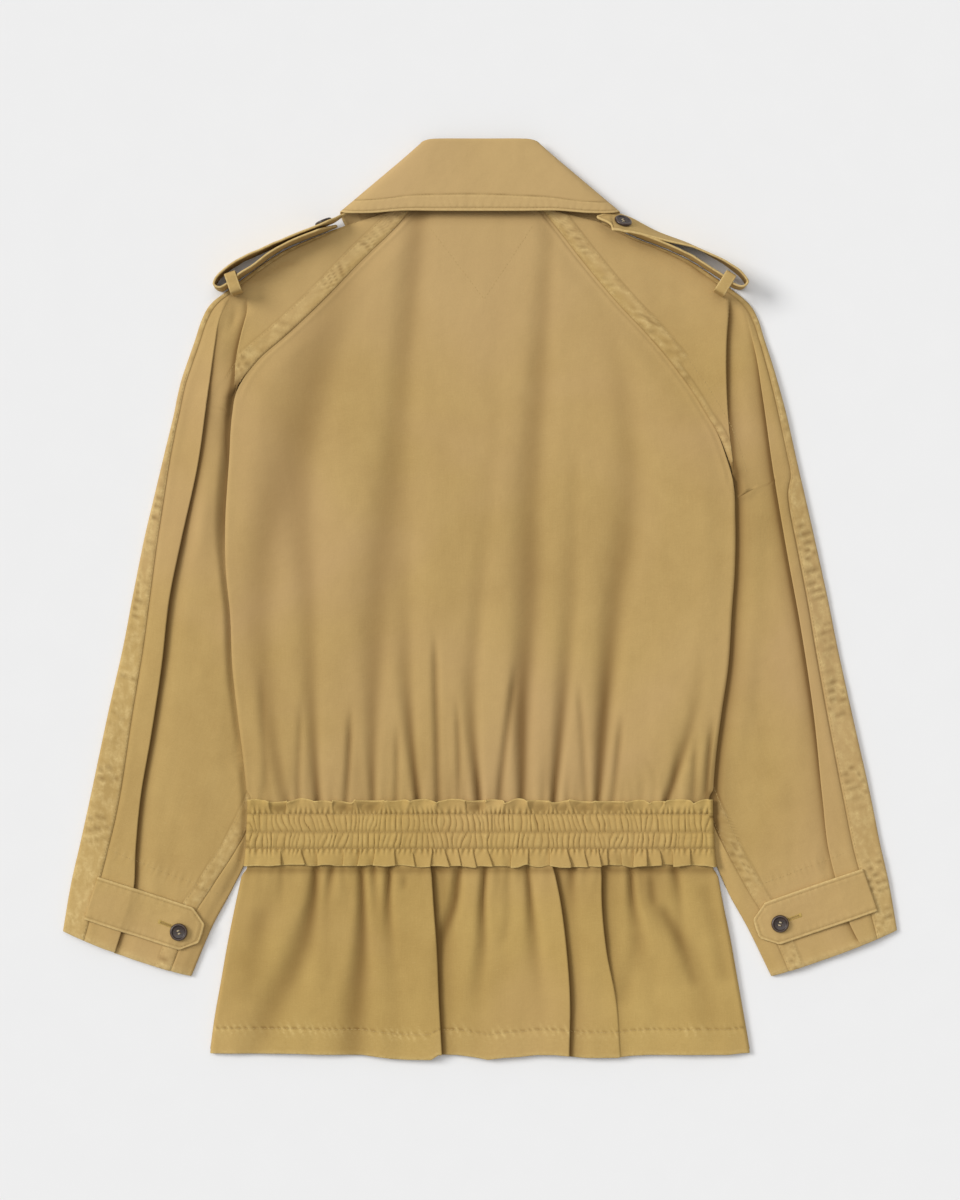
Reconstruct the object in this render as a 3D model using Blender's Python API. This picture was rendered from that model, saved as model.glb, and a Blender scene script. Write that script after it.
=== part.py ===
import math

import bmesh
import bpy
import mathutils
import numpy as np

# A short trench-style coat laid flat on its front, back up: raglan sleeves
# tucked partly under the body, an elasticated waist with two channels and
# frilled edges, a flared peplum, a folded collar, shoulder straps held by
# keepers, and buttoned cuff tabs.

# Driving dimensions, mm
CLOTH = 1.2                # wall of every cloth piece
GAP = 0.3                  # between neighbouring pieces
LAP = 20.0                 # how far each front runs past the centre line
BUTTON_ACROSS = 15.0
BUTTON_THICK = 3.0
STRAP_THICK = 2.0          # two layers of cloth
STRAP_LOW, STRAP_TOP = 1.0, 27.0
TAB_LENGTH, TAB_HALF = 99.0, 19.3
COLLAR_TOP = 390.4         # y of the collar's fold
HEM = -391.9               # lowest y of the hem
CLOTH_COLOUR = (0.455, 0.325, 0.135)
BUTTON_COLOUR = (0.020, 0.015, 0.012)

# ------------------------------------------------------------------ sizes, mm
# Frame: x to the right, y towards the collar, z up from the surface it lies on.
# The coat lies on its front, back up, so -x is the wearer's left.

SLEEVE_COLUMNS = ("x_out", "y_out", "x_top", "y_top", "x_low", "y_low", "open")
# One row for each section of a sleeve, cuff to neck; x is distance from the
# centre line. *_out is the outer fold, *_top where the upper layer ends and
# *_low where the lower layer ends; open is 1 where those two are raglan seams
# and 0 where they are one fold.
SLEEVE_LEFT = (
    (355, -282.8, 246.3, -321, 246.3, -321, 0),
    (348, -242, 229.0, -280, 229, -280, 0),
    (340, -207, 212.0, -248, 212, -248, 0),
    (331, -166, 193.0, -208, 193, -208, 0),
    (316, -95, 172.0, -145, 172, -145, 0),
    (304, -42, 166.0, -90, 166, -90, 0),
    (296, 0, 161.0, -40, 161, -40, 0),
    (286, 50, 160.0, -2, 160, -2, 0),
    (278, 84, 162.0, 40, 162, 40, 0),
    (269, 122, 166.0, 82, 166, 82, 0),
    (261, 155, 173.0, 118, 173, 118, 0),
    (258, 170, 204.0, 155, 166, 140, 1),
    (256, 179, 208.6, 167, 162, 150, 1),
    (253, 190, 207.0, 177, 159, 158, 1),
    (243, 219, 196.0, 195, 148, 186, 1),
    (236.5, 238.5, 178.0, 213, 138, 206, 1),
    (228.8, 251.5, 157.0, 232, 125, 227, 1),
    (214.2, 263.0, 137.0, 251, 112, 246, 1),
    (193.8, 278.7, 119.0, 269, 99, 262, 1),
    (171.3, 294.0, 103.0, 286, 86, 277, 1),
    (147.3, 305.2, 84.0, 304, 72, 291, 1),
    (126.2, 313.4, 68.0, 320, 58, 304, 1),
    (107, 320.2, 56.0, 336, 48, 314, 1),
)
SLEEVE_RIGHT = (
    (355, -282, 248.5, -321, 248.5, -321, 0),
    (348, -242, 229.0, -281, 229, -281, 0),
    (340, -206, 211.0, -248, 211, -248, 0),
    (332, -166, 194.0, -206, 194, -206, 0),
    (316, -95, 176.0, -145, 176, -145, 0),
    (304, -40, 168.0, -88, 168, -88, 0),
    (296, 0, 164.0, -40, 164, -40, 0),
    (285, 50, 164.0, 12, 164, 12, 0),
    (276, 90, 168.0, 56, 168, 56, 0),
    (272, 107, 212.0, 83, 163, 76, 1),
    (270, 116, 217.6, 93, 160, 86, 1),
    (268, 125, 215.0, 103, 158, 94, 1),
    (260, 160, 208.0, 124, 152, 124, 1),
    (250, 196, 197.0, 149, 145, 156, 1),
    (242, 221, 182.0, 175, 136, 184, 1),
    (236.5, 238.5, 166.0, 198, 126, 206, 1),
    (228.8, 251.5, 148.0, 219, 115, 226, 1),
    (214.5, 263.3, 129.0, 240, 103, 244, 1),
    (194.5, 277.7, 111.0, 260, 90, 262, 1),
    (176, 289.4, 95.0, 278, 78, 277, 1),
    (154, 299.2, 79.0, 297, 66, 291, 1),
    (131.5, 307.5, 66.0, 315, 55, 304, 1),
    (107, 319.6, 53.0, 333, 46, 314, 1),
)
# The overarm seam on the upper layer, and the underarm seam near the inner
# fold: how far each lies from the outer fold, as a share of the section.
SEAM_COLUMNS = ("y_out", "over", "under")
SEAMS_LEFT = (
    (-281, 0.170, 0.850), (-242, 0.185, 0.855), (-207, 0.180, 0.885),
    (-166, 0.170, 0.930), (-95, 0.135, 0.970), (0, 0.105, 0.975),
    (84, 0.070, 0.975), (122, 0.050, 0.975), (155, 0.040, 0.975),
    (188, 0.035, 0.980), (220, 0.030, 1.0), (325, 0.030, 1.0),
)
SEAMS_RIGHT = (
    (-281, 0.160, 0.870), (-242, 0.170, 0.870), (-207, 0.170, 0.890),
    (-166, 0.160, 0.930), (-95, 0.140, 0.970), (0, 0.125, 0.975),
    (84, 0.125, 0.975), (122, 0.120, 0.975), (155, 0.110, 0.980),
    (200, 0.075, 1.0), (240, 0.035, 1.0), (325, 0.030, 1.0),
)

EDGE_COLUMNS = ("y", "x_left", "x_right")
# The back panel: raglan seams down to the underarms, then the side folds.
BACK_EDGES = (
    (337, -56, 48), (325, -64.5, 58), (286, -103, 88.5), (252, -136, 117),
    (222, -168, 145), (205, -187.5, 159.5), (190, -199.5, 171), (176, -207, 181),
    (158, -210.5, 192), (143, -212, 201), (122, -213, 209), (101, -214.5, 215),
    (67, -216.5, 217), (23, -216, 216.5), (-12, -212.5, 214), (-58, -210.5, 211),
    (-99, -206, 205), (-135, -201.5, 200.5), (-171, -198, 198), (-213, -199.5, 199.5),
)
UNDERARM_Y = {"left": 176.0, "right": 102.0}   # where each raglan seam reaches the side fold
PEPLUM_EDGES = (
    (-197, -198, 198), (-227, -201, 201), (-256, -207, 206), (-290, -214, 213),
    (-324, -220, 219), (-358, -226, 225), (-384, -229.5, 229.5),
)

# Folds. x is given at the named heights, amp is the height of the fold in mm
# at the same heights; w is its half width, and kind one of
# 0 soft trough, 1 ridge, 2 left side laps over right, 3 right side laps over left
BACK_FOLD_Y = (270, 180, 90, 0, -90, -168)
BACK_FOLDS = (
    # kind, w, x at each height, amp at each height
    (0, 22, (-120, -156, -184, -191, -182, -168), (0.8, 1.3, 1.2, 0.8, 0.6, 0.8)),
    (0, 9, (-100, -130, -140, -143, -146, -143), (0.0, 0.0, 0.3, 0.7, 1.2, 1.8)),
    (1, 22, (-85, -108, -112, -116, -120, -120), (0.5, 1.1, 1.1, 0.9, 0.8, 0.6)),
    (0, 17, (-58, -69, -78, -89, -94, -95), (1.7, 2.2, 2.1, 1.9, 1.5, 1.6)),
    (3, 8, (-46, -52, -58, -62, -60, -53), (0.0, 0.0, 0.0, 0.1, 1.2, 2.8)),
    (1, 30, (-20, -25, -28, -30, -32, -30), (0.8, 1.0, 1.0, 0.8, 0.5, 0.4)),
    (0, 10, (16, 12, 8, -1, -8, -7), (0.0, 0.1, 0.4, 0.8, 1.2, 1.9)),
    (0, 12, (53, 48, 49, 40, 37, 35), (1.8, 2.6, 2.7, 2.5, 2.4, 2.4)),
    (2, 8, (80, 80, 80, 76, 69, 62), (0.0, 0.0, 0.1, 0.8, 1.6, 2.6)),
    (0, 12, (98, 123, 126, 114, 106, 100), (0.0, 0.8, 1.8, 2.1, 2.6, 3.2)),
    (1, 26, (104, 140, 156, 156, 150, 136), (0.2, 0.5, 0.9, 1.1, 1.2, 1.2)),
    (2, 10, (110, 152, 178, 182, 176, 158), (0.0, 0.0, 0.0, 0.0, 0.9, 2.2)),
)
PEPLUM_FOLD_Y = (-228, -256, -298, -341, -386)
PEPLUM_FOLDS = (
    (0, 13, (-166, -178, -196, -206, -212), (0.6, 1.0, 0.8, 0.3, 0.0)),
    (0, 9, (-141, -142, -153, -175, -190), (2.6, 2.8, 2.6, 2.0, 0.6)),
    (2, 9, (-102, -101, -101.5, -105, -109), (2.8, 2.6, 1.6, 1.3, 0.6)),
    (0, 6, (-79, -77, -74, -72, -70), (1.6, 1.4, 0.5, 0.2, 0.2)),
    (2, 11, (-43, -42.5, -40, -39, -35.7), (3.4, 3.6, 3.6, 3.4, 2.8)),
    (0, 7, (-17, -23, -31, -33, -29), (2.4, 2.6, 1.2, 0.5, 0.2)),
    (3, 8, (2.5, 1.5, 0.5, -4, -3), (2.4, 2.0, 1.4, 1.2, 1.2)),
    (2, 8, (37.6, 40, 44, 48, 50), (2.6, 2.4, 1.2, 0.5, 0.2)),
    (2, 12, (54.5, 62, 67.5, 69, 63), (2.8, 3.2, 3.6, 3.6, 2.6)),
    (2, 9, (94, 96, 101, 108, 114), (2.8, 2.6, 1.6, 0.9, 0.4)),
    (0, 7, (119, 124, 138, 150, 158), (2.2, 1.8, 0.8, 0.3, 0.0)),
    (0, 13, (143, 150, 176, 192, 200), (1.2, 1.6, 1.6, 0.8, 0.0)),
)
# Sleeve pleats: (kind 2 = the outer side laps over, 3 = the inner side laps
# over), then rows of distance from the centre line, y, height.
PLEATS_LEFT = (
    (2, 11, ((208, 268, 0.0), (222, 238, 0.6), (226, 216, 1.4), (234, 163, 2.6),
             (241, 115, 3.0), (255, 51, 3.3), (265, 2, 3.6), (272, -58, 3.6),
             (281, -117, 3.4), (290, -170, 3.0), (294, -213, 2.8), (296, -250, 2.4),
             (307, -287, 2.0), (313, -306, 1.8))),
    (3, 12, ((200, 263, 0.0), (198, 251, 0.8), (203, 224, 2.4), (206.5, 205, 2.9),
             (208, 186, 3.0), (213, 150, 2.0), (212, 110, 0.6), (205, 60, 0.0))),
)
PLEATS_RIGHT = (
    (2, 11, ((224, 252, 0.0), (231, 225, 0.7), (235, 209, 1.4), (241, 174, 2.2),
             (252, 100, 3.0), (264, 30, 3.4), (273, -19, 3.3), (285, -99, 2.6),
             (292, -170, 1.8), (297, -213, 1.4), (303, -238, 1.2), (315, -276, 1.6),
             (323, -292, 1.6))),
    (3, 12, ((213, 258, 0.0), (212, 250, 1.4), (209, 222, 2.8), (208.5, 199, 3.0),
             (211, 146, 3.0), (215, 111, 2.2), (216, 90, 1.2), (214, 50, 0.0))),
)


def curve(ts, vs):
    """A smooth line through the values vs at ts, going on straight past its ends."""
    ts, vs = np.asarray(ts, float), np.asarray(vs, float)
    if ts[0] > ts[-1]:
        ts, vs = ts[::-1], vs[::-1]
    h = np.diff(ts)
    d = np.diff(vs) / h
    m = np.empty_like(vs)
    m[0], m[-1] = d[0], d[-1]
    if len(ts) > 2:
        m[1:-1] = (d[:-1] * h[1:] + d[1:] * h[:-1]) / (h[:-1] + h[1:])

    def at(t):
        t = np.asarray(t, float)
        i = np.clip(np.searchsorted(ts, t) - 1, 0, len(ts) - 2)
        s = (t - ts[i]) / h[i]
        c = np.clip(s, 0, 1)
        a, b = vs[i], vs[i + 1]
        inside = (
            a * (2 * c**3 - 3 * c**2 + 1) + b * (3 * c**2 - 2 * c**3)
            + h[i] * (m[i] * (c**3 - 2 * c**2 + c) + m[i + 1] * (c**3 - c**2))
        )
        return inside + np.where(s < 0, s * h[i] * m[i], 0) + np.where(s > 1, (s - 1) * h[i] * m[i + 1], 0)

    return at


def step(t):
    """0 below 0, 1 above 1, smooth between."""
    t = np.clip(t, 0, 1)
    return t * t * (3 - 2 * t)


def columns(table, names, *wanted):
    return [np.array([row[names.index(w)] for row in table], float) for w in wanted]


EDGE_Y, EDGE_L, EDGE_R = columns(BACK_EDGES, EDGE_COLUMNS, "y", "x_left", "x_right")
back_left, back_right = curve(EDGE_Y, EDGE_L), curve(EDGE_Y, EDGE_R)
_PY, _PL, _PR = columns(PEPLUM_EDGES, EDGE_COLUMNS, "y", "x_left", "x_right")
peplum_left, peplum_right = curve(_PY, _PL), curve(_PY, _PR)


def side_edge(y, side):
    """Distance from the centre line of the body's side fold, under the sleeve or over it."""
    y = np.asarray(y, float)
    if side == "left":
        top, low = -back_left(y), -peplum_left(y)
    else:
        top, low = back_right(y), peplum_right(y)
    return np.where(y > -205, top, low)


def fold_lines(folds, heights):
    """Each fold as (kind, w, x(y), amp(y))."""
    return [(k, w, curve(heights, xs), curve(heights, amps)) for k, w, xs, amps in folds]


BACK_LINES = fold_lines(BACK_FOLDS, BACK_FOLD_Y)
PEPLUM_LINES = fold_lines(PEPLUM_FOLDS, PEPLUM_FOLD_Y)


def fold_height(kind, w, d, amp, lip=1.2):
    """Height of one fold at signed distance d from its line."""
    d = np.asarray(d, float)
    if kind == 0:
        return -amp * np.exp(-((d / w) ** 2))
    if kind == 1:
        return amp * np.exp(-((d / w) ** 2))
    s = d if kind == 2 else -d          # s < 0 is the side that laps over
    high = 0.4 * amp * np.exp(-((np.minimum(s, 0) / (1.6 * w)) ** 2))
    deep = -0.8 * amp * np.exp(-((np.maximum(s, 0) / w) ** 2))
    t = step((s + lip) / (2 * lip))
    return high * (1 - t) + deep * t


def folds_at(lines, x, y, lip=1.2):
    z = np.zeros(np.broadcast(x, y).shape)
    for kind, w, xf, amp in lines:
        z = z + fold_height(kind, w, x - xf(y), np.clip(amp(y), 0, None), lip)
    return z


# ------------------------------------------------------------ layer heights
# Every height is that of the middle of a wall.
FLOOR = CLOTH / 2
LAYER = CLOTH + GAP        # one layer lying on another
EDGE_GAP = 0.32            # half the gap where two panels meet at a side fold
SLEEVE_TUCK = FLOOR + LAYER
OVER_SLEEVE = 2 * LAYER    # the fronts rise over a tucked sleeve


def inner_fold(side):
    table = SLEEVE_LEFT if side == "left" else SLEEVE_RIGHT
    rows = [r for r in table if r[6] == 0]
    return curve([r[3] for r in rows], [r[2] for r in rows])


INNER = {s: inner_fold(s) for s in ("left", "right")}
RISE_TOP = {"left": 144.0, "right": 80.0}
SIGN = {"left": -1, "right": 1}


def over_sleeve(x, y):
    """How far the body's lower layer is lifted by the sleeves tucked under it."""
    z = 0.0
    for side in ("left", "right"):
        out = SIGN[side] * np.asarray(x, float)
        z = z + step((out - INNER[side](y) + 19) / 12) * step((RISE_TOP[side] - y) / 14)
    return OVER_SLEEVE * z


def over_wings(x, y):
    """How far the fronts are lifted by the collar's two ends."""
    return LAYER * step((np.asarray(y, float) - 234) / 12) * step((152 - np.abs(x)) / 8)


def waist(y):
    """1 where the waist strip lies outside the cloth, 0 away from it."""
    y = np.asarray(y, float)
    return step((y + 236) / 7) * step((-162 - y) / 7)


BACK_BASE = curve((337, 290, 230, 150, 60, -40, -110, -142, -163, -178, -215),
                  (5.7, 5.7, 5.5, 5.3, 5.3, 5.5, 6.2, 6.9, 6.9, 6.9, 6.9))
PEPLUM_BASE = curve((-197, -227, -260, -300, -345, -391), (6.9, 6.8, 6.0, 5.7, 5.6, 5.2))
SIDE_LEVEL = curve((337, -160, -185, -228, -262, -320, -391), (5.75, 5.75, 5.9, 5.7, 4.4, 3.2, 2.6))


def back_height(x, y):
    x, y = np.asarray(x, float), np.asarray(y, float)
    fade = step((y + 186) / 16)
    return BACK_BASE(y) + fade * (1.6 * (x / 205.0) ** 2 + folds_at(BACK_LINES, x, y))


def peplum_height(x, y):
    x, y = np.asarray(x, float), np.asarray(y, float)
    return PEPLUM_BASE(y) + step((-212 - y) / 26) * folds_at(PEPLUM_LINES, x, y)


def front_height(x, y, side, is_strip=False):
    """Height of a front; the left one also lies over the right one's lap."""
    x, y = np.asarray(x, float), np.asarray(y, float)
    z = FLOOR + over_sleeve(x, y) + over_wings(x, y)
    if not is_strip:
        z = z + LAYER * waist(y)
        if side == "left":
            z = z + LAYER * step((x + LAP + 9) / 7)
    return z


HEM_X = (-232, -155, -140, -100, -88, -75, -62, -42, -37, -20, -7, 7, 20, 34, 48, 64, 75, 88, 116, 129, 143, 211, 224, 232)
HEM_Y = (-386.6, -386.8, -387.5, -387.8, -389.5, -391.1, HEM, HEM, -387.8, -387.8, -389.4, HEM, -390.2, -389.4, -387.8, -387.7,
         -389.0, -390.2, -390.2, -388.5, -387.7, -387.7, -386.4, -386.0)


def hem(x):
    return np.interp(x, HEM_X, HEM_Y)


# --------------------------------------------------------------- grid helpers
def spaced(wanted, low, high, least):
    """Columns near the wanted places, between low and high, in order and apart."""
    p = np.clip((np.asarray(wanted, float) - low) / (high - low), 0, 1)
    p[0], p[-1] = 0, 1
    n = len(p) - 1
    m = min(least / abs(high - low), 0.9 / n)
    for k in range(1, n + 1):
        p[k] = max(p[k], p[k - 1] + m)
    p[-1] = 1
    for k in range(n - 1, -1, -1):
        p[k] = min(p[k], p[k + 1] - m)
    p[0] = 0
    return low + (high - low) * p


def curl(x_in, z_in, x_edge, z_edge, turn):
    """Points from (x_in, z_in) to a side fold: a quarter ellipse when turn is 1, level when 0."""
    pts = []
    parts = 3
    for i, degrees in ((1, 38), (2, 70), (3, 90)):
        a = math.radians(degrees)
        round_x = x_in + (x_edge - x_in) * math.sin(a)
        round_z = z_edge + (z_in - z_edge) * math.cos(a)
        flat_x = x_in + (x_edge - x_in) * i / parts
        pts.append((turn * round_x + (1 - turn) * flat_x, turn * round_z + (1 - turn) * z_in))
    return pts


def clear_scene():
    for obj in list(bpy.data.objects):
        bpy.data.objects.remove(obj, do_unlink=True)


def material(name, colour, roughness):
    mat = bpy.data.materials.new(name)
    mat.use_nodes = True
    shader = mat.node_tree.nodes["Principled BSDF"]
    shader.inputs["Base Color"].default_value = (*colour, 1)
    shader.inputs["Roughness"].default_value = roughness
    shader.inputs["Metallic"].default_value = 0.0
    return mat


def add_object(name, verts, faces, mat, wall=None):
    """A named mesh in metres from points in mm; with wall, a sheet thickened both ways."""
    mesh = bpy.data.meshes.new(name)
    mesh.from_pydata([tuple(c / 1000 for c in v) for v in verts], [], faces)
    mesh.materials.append(mat)
    obj = bpy.data.objects.new(name, mesh)
    bpy.context.scene.collection.objects.link(obj)
    bm = bmesh.new()
    bm.from_mesh(mesh)
    bmesh.ops.recalc_face_normals(bm, faces=bm.faces)
    bm.to_mesh(mesh)
    bm.free()
    mesh.shade_smooth()
    if wall:
        solid = obj.modifiers.new("wall", "SOLIDIFY")
        solid.thickness = wall / 1000
        solid.offset = 0.0
        solid.use_even_offset = False
        solid.use_rim = True
    return obj


def add_grid(name, rows, mat, wall=CLOTH, closed=False):
    """rows is a list of rows of points, all of one length."""
    n, m = len(rows), len(rows[0])
    verts = [p for row in rows for p in row]
    faces = []
    for i in range(n - 1 + closed):
        for j in range(m - 1):
            a, b = i * m + j, ((i + 1) % n) * m + j
            faces.append((a, a + 1, b + 1, b))
    return add_object(name, verts, faces, mat, wall)


# ----------------------------------------------------------------- the panels
def back_panel(mat):
    rows = []
    ys = (337, 325, 306, 286, 260, 236, 213, 198, 186, 176, 166, 148, 124, 104, 94,
          60, 15, -35, -80, -118, -148, -166, -180, -195)
    for y in ys:
        left, right = float(back_left(y)), float(back_right(y))
        inset = 3.2 * float(waist(y))
        left, right = left + inset, right - inset
        level = 1 - float(waist(y))                # both layers stay level in the waist
        turn_l = level * float(step((UNDERARM_Y["left"] - y) / 10))
        turn_r = level * float(step((UNDERARM_Y["right"] - y) / 10))
        wanted = [left + 3]
        for kind, w, xf, amp in BACK_LINES:
            x = float(xf(y))
            wanted += [x - 1.5, x + 1.5] if kind > 1 else [x]
        ordered = sorted(wanted + [right - 3])
        middle = [(ordered[k] + ordered[k + 1]) / 2 for k in (1, 4, 8, 11, 12)]
        cols = spaced(sorted(ordered + middle), left + 3, right - 3, 2.4)
        pts = [(x, y, float(back_height(x, y))) for x in cols]
        end_l = float(SIDE_LEVEL(y)) + EDGE_GAP
        before = [(x, y, z) for x, z in curl(cols[0], pts[0][2], left, end_l, turn_l)]
        after = [(x, y, z) for x, z in curl(cols[-1], pts[-1][2], right, end_l, turn_r)]
        rows.append(before[::-1] + pts + after)
    add_grid("back_panel", rows, mat)


def peplum_back(mat):
    rows = []
    for t in (0, 0.075, 0.15, 0.24, 0.36, 0.53, 0.72, 0.88, 1.0):
        y0 = -197 + t * (-384 + 197)
        left, right = float(peplum_left(y0)), float(peplum_right(y0))
        inset = 3.2 * float(waist(y0))
        left, right = left + inset, right - inset
        wanted = [left + 3, right - 3]
        for kind, w, xf, amp in PEPLUM_LINES:
            x = float(xf(y0))
            wanted += [x - 1.5, x + 1.5] if kind > 1 else [x]
        ordered = sorted(wanted)
        middle = [(ordered[k] + ordered[k + 1]) / 2 for k in (0, 2, 4, 7, 9, 12, 14, 16, 18)]
        cols = spaced(sorted(ordered + middle), left + 3, right - 3, 2.4)
        ys = [-197 + t * (float(hem(x)) + 197) for x in cols]
        pts = [(x, y, float(peplum_height(x, y))) for x, y in zip(cols, ys)]
        level = float(SIDE_LEVEL(y0)) + EDGE_GAP
        turn = 1 - float(waist(y0))
        before = [(x, ys[0], z) for x, z in curl(cols[0], pts[0][2], left, level, turn)]
        after = [(x, ys[-1], z) for x, z in curl(cols[-1], pts[-1][2], right, level, turn)]
        rows.append(before[::-1] + pts + after)
    add_grid("peplum_back", rows, mat)


FRONT_COLUMNS = ("y", "in", "left_out", "right_out")
# Distance of each front's inner and outer boundary from the centre line; above
# the underarm the outer one is the front raglan seam. -LAP is past the centre.
FRONT_NECK = ((314, 46), (300, 30), (284, 12), (264, -8), (244, -LAP))
RAGLAN_FRONT = {
    "left": ((314, 48), (304, 58), (291, 72), (277, 86), (262, 99), (246, 112), (227, 125),
             (206, 138), (186, 148), (158, 159), (150, 162), (140, 166), (131, 170), (120, 190), (108, 211)),
    "right": ((314, 46), (304, 55), (291, 66), (277, 78), (262, 90), (244, 103), (226, 115),
              (206, 126), (184, 136), (156, 145), (124, 152), (94, 158), (86, 160), (76, 163),
              (67, 169), (58, 195), (48, 216)),
}


def front_out(y, side):
    table = RAGLAN_FRONT[side][::-1]
    lowest = table[0][0]
    if y < lowest:
        return float(side_edge(y, side)) - 3.2 * float(waist(y))
    return float(np.interp(y, [r[0] for r in table], [r[1] for r in table])) - 0.6


def front_rows(side, ys, is_strip=False, inner=None):
    sign = SIGN[side]
    neck = FRONT_NECK[::-1]
    rows = []
    for y in ys:
        if inner is None:
            start = float(np.interp(y, [r[0] for r in neck], [r[1] for r in neck]))
        else:
            start = inner
        out = front_out(y, side) if not is_strip else float(side_edge(y, side))
        low_row = RAGLAN_FRONT[side][-1][0]
        turn = float(step((low_row + 4 - y) / 12)) * (1 if is_strip else 1 - float(waist(y)))
        reach = 3.0
        stop = out - reach
        fold = float(INNER[side](min(y, RISE_TOP[side])))
        wanted = [start, LAP + 2, LAP + 9, 60, 100, fold - 19, fold - 13, fold - 6, stop]
        cols = spaced(sorted(wanted), start, stop, 1.2) if stop > start + 12 else np.linspace(start, stop, 9)
        pts = [(sign * c, y, float(front_height(sign * c, y, side, is_strip))) for c in cols]
        level = float(SIDE_LEVEL(y)) - EDGE_GAP
        tail = [(sign * x, y, z) for x, z in curl(cols[-1], pts[-1][2], out, level, turn)]
        rows.append(pts + tail)
    return rows


def fronts(mat):
    for side in ("left", "right"):
        tall = (307, 297, 282, 262, 243, 232, 206, 184, 158)
        mid = (140, 131, 120, 108, 96) if side == "left" else (124, 94, 76, 67, 58, 48, 38)
        low = (10, -60, -120, -158, -163, -170, -182, -195)
        add_grid("front_panel_" + side, front_rows(side, tall + mid + low), mat)
        add_grid("peplum_front_" + side,
                 front_rows(side, (-196, -214, -228, -233, -238, -262, -300, -345, -383), inner=-LAP), mat)
        inner = -LAP if side == "right" else LAP + 9 + 2
        add_grid("waist_casing_front_" + side, front_rows(side, (-172, -184, -199, -214, -226), True, inner), mat)


def waist_casing_back(mat):
    """A strip with two channels; each long edge is a frill that stands off the cloth."""
    rows = []
    count = 44
    for y, wave, rise in ((-171, 1.1, 2.6), (-177, 0.8, 1.5), (-183, 0, 0), (-197, 0, 0.3),
                          (-211, 0, 0), (-219, 0.6, 0.9), (-227, 0.9, 1.7)):
        left, right = -float(side_edge(y, "left")), float(side_edge(y, "right"))
        row = []
        for k in range(count + 1):
            x = left + 3 + (right - left - 6) * k / count
            phase = 2 * math.pi * x / (23.0 if y > -200 else 27.0)
            z = 8.5 + rise + wave * math.sin(phase + 1.1 * math.sin(0.043 * x))
            under = back_height(x, y) if y > -200 else peplum_height(x, y)
            row.append((x, y, max(z, float(under) + LAYER + 0.3)))
        level = float(SIDE_LEVEL(y)) + EDGE_GAP
        before = [(x, y, z) for x, z in curl(row[0][0], row[0][2], left, level, 1)]
        after = [(x, y, z) for x, z in curl(row[-1][0], row[-1][2], right, level, 1)]
        rows.append(before[::-1] + row + after)
    add_grid("waist_casing_back", rows, mat)


# ---------------------------------------------------------------- the sleeves
def sleeve_curves(side):
    table = SLEEVE_LEFT if side == "left" else SLEEVE_RIGHT
    index = range(len(table))
    parts = {name: curve(index, [r[k] for r in table]) for k, name in enumerate(SLEEVE_COLUMNS[:-1])}
    share = SEAMS_LEFT if side == "left" else SEAMS_RIGHT
    over = curve([r[0] for r in share], [r[1] for r in share])
    under = curve([r[0] for r in share], [r[2] for r in share])
    first_open = [r[6] for r in table].index(1)
    return parts, over, under, first_open, len(table)


PLEAT_LINES = {}
for _side, _table in (("left", PLEATS_LEFT), ("right", PLEATS_RIGHT)):
    PLEAT_LINES[_side] = [
        (k, w, curve([r[1] for r in rows], [r[0] for r in rows]), curve([r[1] for r in rows], [r[2] for r in rows]),
         min(r[1] for r in rows), max(r[1] for r in rows))
        for k, w, rows in _table
    ]


BOW = {"left": 2.6, "right": 2.0}


def cuff_bow(side, t, share):
    """How far the cuff's edge bows out past the straight line between its two corners."""
    return BOW[side] * max(0.0, 1 - t) ** 2 * 4 * share * (1 - share)


def sleeve_height(side, out, y, from_fold, share, seam_z, is_open):
    """Middle of a sleeve's upper layer at distance out from the centre line."""
    z = 5.2 - 1.6 * np.exp(-from_fold / 12.0)
    for kind, w, xf, amp, y0, y1 in PLEAT_LINES[side]:
        inside = step((y - y0 + 6) / 10) * step((y1 - y + 6) / 10)
        z = z + inside * fold_height(kind, w, xf(y) - out, np.clip(amp(y), 0, None))
    edge = side_edge(np.minimum(y, UNDERARM_Y[side] + 12), side)
    tucked = step((edge + 12.5 - out) / 9) * step((UNDERARM_Y[side] + 7 - y) / 9)
    if is_open:
        z = z + (seam_z - z) * step((share - 0.45) / 0.5)
    z = np.maximum(z, SLEEVE_TUCK + 0.2)
    return z + (SLEEVE_TUCK - z) * tucked


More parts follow.
